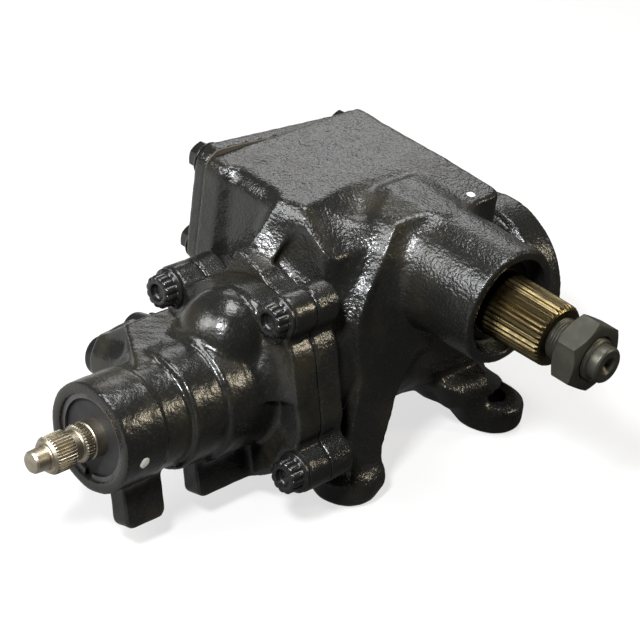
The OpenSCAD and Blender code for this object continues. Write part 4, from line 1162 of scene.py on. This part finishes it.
    def chamber(self) -> np.ndarray:
        """Room inside for the sector teeth, open to the cover and to the bore.

        Returns:
            Distance at each grid point.
        """
        space, reach, span = self.space, self.room_r, (DATUM.cover_x - OVERCUT, self.room_x)
        room = space.rod(Axis.X, SECTOR_AXIS, span, reach)
        room = meet(room, space.beyond(Axis.Z, DATUM.sector_z + self.room_rise), 0.5)
        room = np.minimum(room, space.rod(Axis.X, SECTOR_AXIS, span, self.hub_room_r))
        corners = rectangle((-reach, reach), SECTOR_AXIS)
        return np.minimum(room, space.prism(Axis.X, corners, (-self.room_x, self.room_x), 0.0, 0.0))

    def machined(self, cast: np.ndarray) -> np.ndarray:
        """Cut the faces and bores that are machined after casting.

        Args:
            cast: distance to the rough casting.

        Returns:
            Distance at each grid point.
        """
        space, soft = self.space, MACHINED_EDGE
        joint, boss, cover, top = DATUM.joint_y, DATUM.boss_x, DATUM.cover_x, self.ear_top()
        lower = [(Axis.X, cover, False), (Axis.Y, joint, False), (Axis.Z, DATUM.sole_z, False)]
        cast = space.faced(cast, [*lower, (Axis.Y, DATUM.rear_y, True), (Axis.X, boss, True)], soft)
        bores = [
            (joint - OVERCUT, DATUM.rear_y - 5, self.bore_r),
            (self.plug_y, DATUM.rear_y + OVERCUT, self.plug_r),
        ]
        cast = space.bored(cast, Axis.Y, WORM_AXIS, bores, soft)
        bores = [
            (0, boss, self.bearing_r),
            (self.seal_x, boss, self.seal_r),
            (self.mouth_x, boss + OVERCUT, self.mouth_r),
        ]
        cast = space.bored(cast, Axis.X, SECTOR_AXIS, bores, soft)
        cast = carve(cast, self.chamber(), soft)
        hole = (joint - OVERCUT, joint + self.bolt_depth, self.bolt_r)
        for at in FLANGE.bolts(VALVE_CLOCK):
            cast = space.bored(cast, Axis.Y, at, [hole], soft)
        hole = (cover - OVERCUT, cover + self.cover_bolt_depth, self.cover_bolt_r)
        for at in self.cover_outline():
            cast = space.bored(cast, Axis.X, at, [hole], soft)
        hole = (DATUM.sole_z - OVERCUT, top + self.spot, self.mount_r)
        spot = (top, top + self.spot, self.mount_r + self.spot)
        for at in self.ear_places():
            cast = space.bored(cast, Axis.Z, at, [hole], soft)
            cast = space.bored(cast, Axis.Z, at, [spot], soft, 1.0)
        return cast


@dataclass
class ValveHousing(Casting):
    """Second casting: nose, valve bore, lugs, hose ports and flange, made unclocked."""

    step: float = 1.0
    most_faces: int = 150_000
    nose_r: float = 28.0
    nose_length: float = 26.0
    ring_r: float = 30.5
    rings: Pair = (42.0, 62.0)
    ring_edge: float = 1.6
    body_r: float = 33.0
    flare: Pair = (16.0, 12.5)
    flare_z: float = -2.0
    dome_r: float = 24.0
    dome_at: Triple = (5.0, -6.0, 26.0)
    ridge: Triple = (-24.0, -147.0, 37.5)
    ridge_length: float = 30.0
    foot: Triple = (5.0, -166.0, 27.5)
    foot_length: float = 34.0
    recess_r: float = 22.3
    recess: float = 8.0
    seal_r: float = 19.0
    seal: float = 9.0
    needle_r: float = 13.5
    needle: float = 12.0
    bore_r: float = 17.55
    room_r: float = 27.0
    room: float = 20.0
    lug_sole: float = 51.0
    lug_x: Pair = (-5.0, 7.0)
    lug_y: Triple = (12.0, 36.0, 58.0)
    lug_round: float = 5.0
    port_x: float = -46.0
    port_r: float = 11.8
    ports: Outline = ((-143.0, 15.0), (-119.0, 20.0))
    fitting_r: float = 10.02
    bolt_r: float = 5.75
    seat_r: float = 11.5
    seat: float = 40.0

    def build(self) -> None:
        """Skin the casting, clock it and set it on the housing."""
        reach = FLANGE.bolt_circle_r * math.sqrt(0.5) + FLANGE.lobe_r + 3
        low = (-reach - 2, DATUM.nose_y - 3, -self.lug_sole - 4)
        self.space = Field(low, (reach, DATUM.joint_y + 3, reach), self.step)
        cast = self.rough() + self.space.ripple(0.16, 17.0)
        shape = self.space.skin(self.machined(cast), self.most_faces).turned_about_worm(VALVE_CLOCK)
        nodes = ["valve_housing"]
        add_piece("valve_housing_cast", shape, Body.HOUSING, Slot.CASTINGS, nodes, finish=FINE_PAINT)

    def rough(self) -> np.ndarray:
        """The casting before machining.

        Returns:
            Distance at each grid point.
        """
        space, nose, face, r = self.space, DATUM.nose_y, FLANGE_FACE, self.lug_round
        first, second = (nose + along for along in self.rings)
        neck = nose + self.nose_length
        cast = space.rod(Axis.Y, WORM_AXIS, (nose, neck), self.nose_r, 1.4)
        steps = (
            (neck - 6, first + 3, self.nose_r - 1),
            (first, second + 3, self.ring_r),
            (second, face + 3, self.body_r),
        )
        for low, high, radius in steps:
            ring = space.rod(Axis.Y, WORM_AXIS, (low, high), radius, self.ring_edge)
            cast = join(cast, ring, self.ring_edge)
        cast = join(cast, self.flared(), 1.5)
        cast = join(cast, self.dome(), 2.5)
        cast = join(cast, self.port_block(), 2.0)
        cast = join(cast, FLANGE.solid(space, (face, DATUM.joint_y), 0.0), 4.0)
        front, back, second = (nose + along for along in self.lug_y)
        for low, high in ((front, back), (second, face + 1)):
            corners = rectangle((low + r, high - r), (-self.lug_sole + r, 0.0))
            cast = join(cast, space.prism(Axis.X, corners, self.lug_x, r, 1.5), 4.0)
        port = space.prism(Axis.X, self.ports, (self.port_x, -4.0), self.port_r, 1.5)
        return join(cast, port, 5.0)

    def flared(self) -> np.ndarray:
        """Hollow flare up to the flange, on the upper half only.

        Returns:
            Distance at each grid point.
        """
        x, y, z = self.space.grid
        length, reach = self.flare
        along = np.clip((y - FLANGE_FACE + length) / length, 0, 1)
        side = (np.hypot(x, z) - self.body_r + 0.5 - reach * along**2.2) * 0.75
        half = meet(side, self.flare_z - z, 1.0)
        return meet(half, np.abs(y - FLANGE_FACE + length / 2 - 2) - length / 2 - 2, 1.0)

    def dome(self) -> np.ndarray:
        """Round hump on top of the body, cut off behind the flange face.

        Returns:
            Distance at each grid point.
        """
        x, y, z = self.space.grid
        x0, y0, z0 = self.dome_at
        ball = np.sqrt((x - x0) ** 2 + (y - FLANGE_FACE - y0) ** 2 + (z - z0) ** 2) - self.dome_r
        return meet(ball, self.space.beyond(Axis.Y, FLANGE_FACE + 3), 1.0)

    def port_block(self) -> np.ndarray:
        """Block behind the ports, with a ridge and a slope down to the top of the body.

        Returns:
            Distance at each grid point.
        """
        x, y, z = self.space.grid
        ridge, foot = self.ridge, self.foot
        places = [self.port_x, ridge[0], foot[0]]
        ends = [ridge[1] + self.ridge_length, foot[1] + self.foot_length]
        near = np.interp(x, places, [ridge[1], ridge[1], foot[1]])
        past = np.interp(x, places, [ends[0], ends[0], ends[1]])
        height = np.interp(x, places, [self.ports[0][1] + self.port_r, ridge[2], foot[2]])
        block = meet((z - height).astype(np.float32) * 0.93, 3.0 - z, 1.0)
        block = meet(block, np.abs(x - (places[0] + places[2]) / 2) - (places[2] - places[0]) / 2, 1.5)
        block = meet(block, (near - y).astype(np.float32) * 0.84, 1.5)
        return meet(block, (y - past).astype(np.float32) * 0.89, 1.5)

    def machined(self, cast: np.ndarray) -> np.ndarray:
        """Cut the faces, bores, ports and bolt seats.

        Args:
            cast: distance to the rough casting.

        Returns:
            Distance at each grid point.
        """
        space, soft = self.space, MACHINED_EDGE
        nose, joint, port, face = DATUM.nose_y, DATUM.joint_y, self.port_x, FLANGE_FACE
        seal = nose + self.recess
        needle = seal + self.seal
        lower = [(Axis.Y, nose, False), (Axis.Z, -self.lug_sole, False), (Axis.X, port, False)]
        cast = space.faced(cast, [(Axis.Y, joint, True), *lower], soft)
        bores = [
            (nose - OVERCUT, seal, self.recess_r),
            (seal - 3, needle, self.seal_r),
            (needle - 3, needle + self.needle, self.needle_r),
            (needle + self.needle - 3, joint, self.bore_r),
            (joint - self.room, joint + OVERCUT, self.room_r),
        ]
        cast = space.bored(cast, Axis.Y, WORM_AXIS, bores, soft)
        for at in FLANGE.bolts(0.0):
            cast = space.bored(cast, Axis.Y, at, [(face - OVERCUT, joint + OVERCUT, self.bolt_r)], soft)
            cast = space.bored(cast, Axis.Y, at, [(face - self.seat, face, self.seat_r)], soft, 1.0)
        for at in self.ports:
            cast = space.bored(cast, Axis.X, at, [(port - OVERCUT, port + OVERCUT, self.fitting_r)], soft)
        return cast


@dataclass
class SectorCover(Casting):
    """Cover plate on the far side of the chamber, with its bolts, screw and nut."""

    step: float = 0.9
    most_faces: int = 60_000
    gasket: float = 0.8
    thick: float = 8.0
    boss: float = 5.0
    boss_r: Pair = (18.0, 20.0)
    rib: float = 3.0
    rib_end: float = 0.82
    hub_r: float = 22.0
    hub_length: float = 30.0
    bush_r: float = 18.56
    screw_r: float = 5.04
    bolt_r: float = 4.75
    bolt_depth: float = 19.0
    bolt_gap: float = 0.25
    head_flats: float = 12.8
    head: float = 6.0
    washer: float = 1.8
    washer_r: float = 9.5
    nut_flats: float = 16.45
    nut: float = 7.0
    cut_edge: float = 0.7
    housing: GearHousing = field(default_factory=GearHousing)

    def outer_x(self) -> float:
        """Place of the cover's outer face."""
        return DATUM.cover_x - self.gasket - self.thick

    def build(self) -> None:
        """Make the cover, its bolts and the adjuster's nut."""
        self.plate()
        self.bolts()
        nut_x = self.outer_x() - self.boss
        shape = hexagon_head(self.nut_flats, nut_x - self.nut, nut_x, self.screw_r - 0.02)
        shape = shape.placed(Axis.X, (0, *SECTOR_AXIS))
        add_piece("adjuster_lock_nut_turned", shape, Body.HOUSING, Slot.ZINC, ["adjuster_lock_nut"])

    def plate(self) -> None:
        """Skin the cover plate with its boss and ribs outside and its hub inside."""
        outer, inner = self.outer_x(), DATUM.cover_x - self.gasket
        outline, lobe = self.housing.cover_outline(), self.housing.cover_lobe_r
        hub_x = inner + self.hub_length
        low = (outer - self.boss - 3, *(np.min(outline, axis=0) - lobe - 3))
        high = (hub_x + 3, *(np.max(outline, axis=0) + lobe + 3))
        space = self.space = Field(low, high, self.step)
        cast = space.prism(Axis.X, outline, (outer, inner + 4), lobe, 2.0)
        small, large = self.boss_r
        boss = space.rod(Axis.X, SECTOR_AXIS, (outer - self.boss, inner), small, 1.2, large)
        cast = join(cast, boss, 5.0)
        for y, z in outline:
            end = (y * self.rib_end, DATUM.sector_z + (z - DATUM.sector_z) * self.rib_end)
            rib = space.prism(Axis.X, [end, SECTOR_AXIS], (outer - self.rib, inner), self.rib, 1.5)
            cast = join(cast, rib, 4.0)
        cast = cast + space.ripple(0.12, 15.0)
        cast = space.faced(cast, [(Axis.X, inner, True), (Axis.X, outer - self.boss, False)], 0.6)
        cast = join(cast, space.rod(Axis.X, SECTOR_AXIS, (inner - 3, hub_x), self.hub_r, 1.0), 0.5)
        bores = [(inner - 2, hub_x + OVERCUT, self.bush_r), (outer - 30, inner, self.screw_r)]
        cast = space.bored(cast, Axis.X, SECTOR_AXIS, bores, self.cut_edge)
        hole = (outer - OVERCUT, inner + OVERCUT, self.bolt_r)
        seat = (outer - OVERCUT, outer, self.washer_r + 0.6)
        for at in outline:
            cast = space.bored(cast, Axis.X, at, [hole], self.cut_edge)
            cast = space.bored(cast, Axis.X, at, [seat], self.cut_edge, 0.8)
        shape = space.skin(cast, self.most_faces)
        add_piece("sector_cover_cast", shape, Body.HOUSING, Slot.CASTINGS, ["sector_cover"])

    def bolts(self) -> None:
        """Make the hexagon bolts, with their washer faces, as one piece."""
        top, shank_r = -self.washer, self.bolt_r - self.bolt_gap
        end = self.thick + self.gasket + self.bolt_depth
        head = hexagon_head(self.head_flats, top - self.head, top + 0.3, 0.0)
        profile = [
            (top, 0.0), (top, self.washer_r - 0.8), (top * 0.4, self.washer_r), (0.0, self.washer_r),
            (0.0, shank_r), (end - 1, shank_r), (end, shank_r - 1), (end, 0.0),
        ]
        washer = turning([(along, max(r, POINT_R)) for along, r in softened(profile, 0.3)], 48)
        bolt = head + washer
        every = [bolt.placed(Axis.X, (self.outer_x(), *at)) for at in self.housing.cover_outline()]
        shape = sum(every[1:], every[0])
        add_piece("cover_bolts_turned", shape, Body.HOUSING, Slot.BOLTS, ["sector_cover_bolts"])


@dataclass
class FlangeBolts:
    """Four bolts with lobed heads that hold the valve housing."""

    head_r: float = 7.8
    lobes: int = 12
    lobe: float = 0.9
    head: float = 9.0
    washer: float = 2.0
    washer_r: float = 10.5
    shank_r: float = 5.5
    recess_r: float = 4.5
    recess: float = 3.0

    def build(self) -> None:
        """Make the four bolts as one piece."""
        sectors = self.lobes * 10
        angle = np.arange(sectors) * TURN / sectors
        grip = self.head_r + self.lobe * np.abs(np.cos(angle * self.lobes / 2)) ** 0.7
        end = FLANGE.thick * 2 - 1
        top, floor, seat = -self.head, self.recess - self.head, -self.washer
        rings: list[Ring] = [
            (floor, POINT_R), (floor, self.recess_r - 0.6), (floor - 0.6, self.recess_r),
            (top + 0.3, self.recess_r + 0.2), (top, self.recess_r + 0.8),
            (top, grip - 1.6), (top + 0.5, grip - 0.5), (top + 1.3, grip),
            (seat - 0.6, grip), (seat, grip + 0.5),
            (seat + 0.4, self.washer_r - 0.5), (seat + 0.9, self.washer_r), (0.0, self.washer_r),
            (0.0, self.shank_r), (end - 1, self.shank_r), (end, self.shank_r - 1), (end, POINT_R),
        ]
        bolt = turning(rings, sectors)
        every = [bolt.placed(Axis.Y, (x, FLANGE_FACE, z)) for x, z in FLANGE.bolts(VALVE_CLOCK)]
        shape = sum(every[1:], every[0])
        add_piece("flange_bolts_turned", shape, Body.HOUSING, Slot.BOLTS, ["valve_housing_bolts"])


# Shafts


@dataclass
class InputShaft:
    """Stub that stands out of the nose: tip, two serrated lengths and a waist between them."""

    tip_r: float = 6.0
    tip: float = 9.0
    serration_r: float = 9.5
    serrations: int = 36
    depth: float = 0.85
    first: float = 13.0
    waist_r: float = 7.6
    waist: float = 5.0
    second: float = 5.0
    plain_r: float = 9.6
    bore_r: float = 4.44
    bore_start: float = 4.96
    inside: float = 46.0
    crease: float = 28.0

    def build(self) -> None:
        """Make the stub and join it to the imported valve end."""
        groove = grooves(self.serrations, 8, 3.0, 0.35)
        s0 = self.tip
        s1 = s0 + self.first
        w1 = s1 + self.waist
        s2 = w1 + self.second
        neck = self.waist_r
        rings: list[Ring] = [
            (0.0, POINT_R), (0.0, self.tip_r - 2.4), (0.5, self.tip_r - 1.1), (1.5, self.tip_r - 0.4),
            (s0 - 0.6, self.tip_r), (s0, self.tip_r + 0.4),
            *self.serrated(s0, s1, groove, 2.2, 0.8),
            (s1 + 0.2, neck + 0.4), (s1 + 0.8, neck), (w1 - 0.8, neck), (w1 - 0.2, neck + 0.4),
            *self.serrated(w1, s2, groove, 0.9, 0.6),
            (s2 + 0.3, self.plain_r - 0.4), (s2 + 0.8, self.plain_r), (self.inside, self.plain_r),
            (self.inside, self.bore_r), (self.bore_start, self.bore_r), (self.bore_start, POINT_R),
        ]
        stub = turning(rings, len(groove)).placed(Axis.Y, (0, DATUM.stub_y, 0))
        rest = cut_node("input_shaft", Axis.Y, DATUM.stub_y + self.inside, above=True)
        shape = stub + rest
        add_piece("input_shaft_turned", shape, Body.INPUT, Slot.INPUT, ["input_shaft"], self.crease)

    def serrated(
        self, low: float, high: float, groove: np.ndarray, lead_in: float, lead_out: float
    ) -> list[Ring]:
        """Rings of one serrated length.

        Args:
            low: where it starts along the shaft.
            high: where it ends.
            groove: depth of the serration in each sector, from 0 to 1.
            lead_in: length of the chamfer at its start.
            lead_out: length of the chamfer at its end.

        Returns:
            The rings in order.
        """
        root = self.serration_r - self.depth
        full = self.serration_r - self.depth * groove
        return [
            (low, np.minimum(full, root - 0.9)),
            (low + lead_in * 0.55, np.minimum(full, root + 0.1)),
            (low + lead_in, full),
            (high - lead_out, full),
            (high, np.minimum(full, root - 0.3)),
        ]


@dataclass
class PitmanShaft:
    """Sector shaft end: tapered splines, threaded neck, tip and nut."""

    spline_x: float = 75.8
    end_x: float = 116.5
    root_r: float = 17.1
    end_r: float = 16.5
    splines: int = 36
    depth: float = 1.15
    chamfer: float = 2.2
    neck_r: float = 11.1
    neck_x: float = 141.5
    tip_r: float = 9.5
    tip_x: float = 147.5
    pitch: float = 1.6
    nut_flats: float = 33.3
    nut_x: Pair = (125.5, 139.5)
    cut_x: float = 75.0
    journal_r: float = 17.5
    crease: float = 28.0

    def build(self) -> None:
        """Make the splined end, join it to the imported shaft, and add the thread and the nut."""
        at = (0, *SECTOR_AXIS)
        groove = grooves(self.splines, 10, 3.2, 0.4)
        start, end, lead = self.spline_x, self.end_x, self.chamfer
        low, high = self.root_r - self.depth * groove, self.end_r - self.depth * groove
        low_root, high_root = self.root_r - self.depth, self.end_r - self.depth
        rings: list[Ring] = [
            (self.cut_x, POINT_R), (self.cut_x, self.journal_r), (start - 0.2, self.journal_r),
            (start, np.minimum(low, low_root + 0.9)), (start + 0.5, low), (end - lead, high),
            (end - lead * 0.35, np.minimum(high, high_root + 0.2)),
            (end, np.minimum(high, high_root - 0.7)), (end, self.neck_r - 0.9), (end, POINT_R),
        ]
        spline = turning(rings, len(groove)).placed(Axis.X, at)
        inside = cut_node("sector_shaft", Axis.X, self.cut_x, above=False)
        shape = inside + spline
        add_piece("sector_shaft_turned", shape, Body.SECTOR, Slot.SECTOR, ["sector_shaft"], self.crease)
        foot, tip = self.neck_x - 1, self.tip_x
        profile = [
            (foot, POINT_R), (foot, self.tip_r), (tip - 1.2, self.tip_r), (tip, self.tip_r - 1.0),
            (tip, 4.5), (tip - 3.2, 2.0), (tip - 4.0, POINT_R),
        ]
        neck = thread(end - 0.5, self.neck_x, self.neck_r, self.pitch)
        shape = (neck + turning(softened(profile, 0.4), 64)).placed(Axis.X, at)
        add_piece("sector_shaft_thread", shape, Body.SECTOR, Slot.NUT)
        nut = hexagon_head(self.nut_flats, *self.nut_x, self.neck_r + 0.02, 120).placed(Axis.X, at)
        add_piece("pitman_nut_turned", nut, Body.SECTOR, Slot.NUT, ["pitman_nut"])


@dataclass
class PortFittings:
    """Two hose fittings on the far side of the valve housing."""

    radius: float = 10.0
    out: float = 6.0
    inside: float = 9.0
    bore_r: float = 7.0
    bore: float = 12.0
    pitch: float = 1.5
    depth: float = 0.5
    housing: ValveHousing = field(default_factory=ValveHousing)

    def build(self) -> None:
        """Make both fittings, each for its own node."""
        mouth, floor, bore_r = -self.out, -self.out + self.bore, self.bore_r
        profile: list[Pair] = [
            (self.inside, POINT_R), (self.inside, self.radius), (mouth + 1.0, self.radius),
            (mouth, self.radius - 1.0), (mouth, bore_r + 1.0), (mouth + 1.0, bore_r),
        ]
        for i in range(int((self.bore - 3) / self.pitch)):
            at = mouth + 1.4 + i * self.pitch
            profile += [(at, bore_r - 0.02), (at + self.pitch / 2, bore_r + self.depth)]
        profile += [(floor, bore_r), (floor, 3.4), (floor + 1.4, 3.0), (floor + 1.4, POINT_R)]
        fitting = turning(profile, 64)
        for node, at in zip(("pressure_port_fitting", "return_port_fitting"), self.housing.ports):
            shape = fitting.placed(Axis.X, (self.housing.port_x, *at)).turned_about_worm(VALVE_CLOCK)
            add_piece(f"{node}_turned", shape, Body.HOUSING, Slot.PORTS, [node])


@dataclass
class InnerWorks:
    """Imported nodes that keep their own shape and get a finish."""

    def dress(self) -> None:
        """Give each shown node the finish of its slot."""
        slots = {part["node"]: part["material_slot"] for part in frame["record"]["subparts"]}
        for node, solid in frame["nodes"].items():
            finish = SLOT_FINISH[Slot(slots[node])]
            solid.data.materials.clear()
            solid.data.materials.append(finish.material())
            log.info("node %s: %s", node, finish.name)


# Studio


@dataclass
class Studio:
    """Pale floor, white surroundings, soft lamps and the camera."""

    azimuth: float = 41.5
    elevation: float = 31.2
    roll: float = 8.0
    distance: float = 1.265
    focal_pixels: float = 2408.7
    aim: Triple = (-23.5, -17.2, -7.4)
    floor_half: float = 6.0
    lamp_aim: Triple = (0.0, 0.0, 0.07)

    def build(self) -> None:
        """Set up everything around the object."""
        self.camera()
        self.floor()
        self.world()
        self.lamp("key_softbox", (0.3, -0.75, 1.0), (0.18, 0.18), 22.0, (0.97, 0.98, 1.0))
        self.lamp("front_softbox", (-0.35, -0.9, 0.85), (0.6, 0.5), 13.0, (0.98, 0.99, 1.0))
        self.lamp("top_softbox", (-0.1, 0.25, 1.15), (0.4, 0.4), 7.0, (1.0, 1.0, 1.0))
        self.lamp("back_softbox", (-0.8, 0.9, 0.75), (0.6, 0.4), 2.6, (1.0, 1.0, 1.0))
        self.lamp("warm_strip", (0.8, 0.8, 0.7), (0.12, 0.35), 5.0, (1.0, 0.88, 0.66))
        bpy.context.scene.view_settings.view_transform = "Standard"

    def axes(self) -> tuple[Vector, Vector, Vector]:
        """Work out the camera's directions.

        Returns:
            Its right, up and backward directions.
        """
        az, el, roll = (math.radians(a) for a in (self.azimuth, self.elevation, self.roll))
        back = Vector((math.cos(el) * math.sin(az), -math.cos(el) * math.cos(az), math.sin(el)))
        level = Vector((math.cos(az), math.sin(az), 0.0))
        upright = back.cross(level)
        right = level * math.cos(roll) + upright * math.sin(roll)
        return right, back.cross(right), back

    def camera(self) -> None:
        """Set the camera at the photograph's viewing angle."""
        right, up, back = self.axes()
        data = bpy.data.cameras.new("camera")
        data.sensor_width = SENSOR_MM
        data.lens = self.focal_pixels * SENSOR_MM / PHOTO_PIXELS
        data.dof.use_dof = False
        seen_from = Vector((np.array(self.aim) + DATUM.origin) * MM) + back * self.distance
        camera = bpy.data.objects.new("camera", data)
        turned = Matrix((right, up, back)).transposed().to_4x4()
        camera.matrix_world = Matrix.Translation(seen_from) @ turned
        bpy.context.scene.collection.objects.link(camera)
        bpy.context.scene.camera = camera

    def floor(self) -> None:
        """Lay a pale floor that keeps the object's shadow."""
        across = (-self.floor_half, self.floor_half)
        mesh = bpy.data.meshes.new("floor")
        mesh.from_pydata([(*corner, 0) for corner in rectangle(across, across)], [], [(0, 1, 2, 3)])
        floor = bpy.data.objects.new("floor", mesh)
        bpy.context.scene.collection.objects.link(floor)
        made = bpy.data.materials.new("pale_floor")
        made.use_nodes = True
        nodes = Nodes(made.node_tree)
        seen, glossy = nodes.ray("Camera"), nodes.ray("Glossy")
        shade = nodes.blend(seen, (0.03, 0.03, 0.03), (0.25, 0.25, 0.25))
        matt = nodes.make("ShaderNodeBsdfDiffuse", {}, {"Color": shade})
        side = nodes.vectors("DOT_PRODUCT", nodes.place(), (-0.9, -0.45, 0.0))
        bright = nodes.steps(side, -0.1, 0.3) * 0.9 + 0.02
        strength = seen * 0.68 + glossy * bright
        glow = nodes.make("ShaderNodeEmission", {}, {"Color": WHITE, "Strength": strength})
        both = nodes.make("ShaderNodeAddShader", {}, {0: matt, 1: glow})
        nodes.make("ShaderNodeOutputMaterial", {}, {"Surface": both})
        mesh.materials.append(made)

    def world(self) -> None:
        """Put white behind the object and a dark room in front of it."""
        world = bpy.data.worlds.new("studio")
        bpy.context.scene.world = world
        world.use_nodes = True
        nodes = Nodes(world.node_tree)
        seen, glossy = nodes.ray("Camera"), nodes.ray("Glossy")
        towards = nodes.make("ShaderNodeTexCoord", {}, {}, "Generated")
        front = nodes.vectors("DOT_PRODUCT", towards, self.axes()[2])
        room = 1 - nodes.steps(front, -0.35, 0.45) * 0.93
        level = seen + (1 - seen) * (glossy * room * 0.14 + (1 - glossy) * 0.03)
        sky = nodes.make("ShaderNodeBackground", {}, {"Color": WHITE, "Strength": level})
        nodes.make("ShaderNodeOutputWorld", {}, {"Surface": sky})

    def lamp(self, name: str, at: Triple, size: Pair, watts: float, colour: Triple) -> None:
        """A soft rectangular lamp that faces the object.

        Args:
            name: the lamp's name.
            at: its place in metres.
            size: its width and height in metres.
            watts: its power.
            colour: its colour.
        """
        data = bpy.data.lights.new(name, "AREA")
        data.shape = "RECTANGLE"
        data.size, data.size_y = size
        data.energy = watts
        data.color = colour
        lamp = bpy.data.objects.new(name, data)
        lamp.location = at
        lamp.rotation_euler = (Vector(self.lamp_aim) - Vector(at)).to_track_quat("-Z", "Y").to_euler()
        bpy.context.scene.collection.objects.link(lamp)


def main() -> None:
    """Build every sub-assembly and the studio."""
    logging.basicConfig(level=logging.INFO, format="%(message)s")
    Studio().build()
    InnerWorks().dress()
    GearHousing().build()
    ValveHousing().build()
    SectorCover().build()
    FlangeBolts().build()
    PortFittings().build()
    InputShaft().build()
    PitmanShaft().build()


if __name__ == "__main__":
    main()
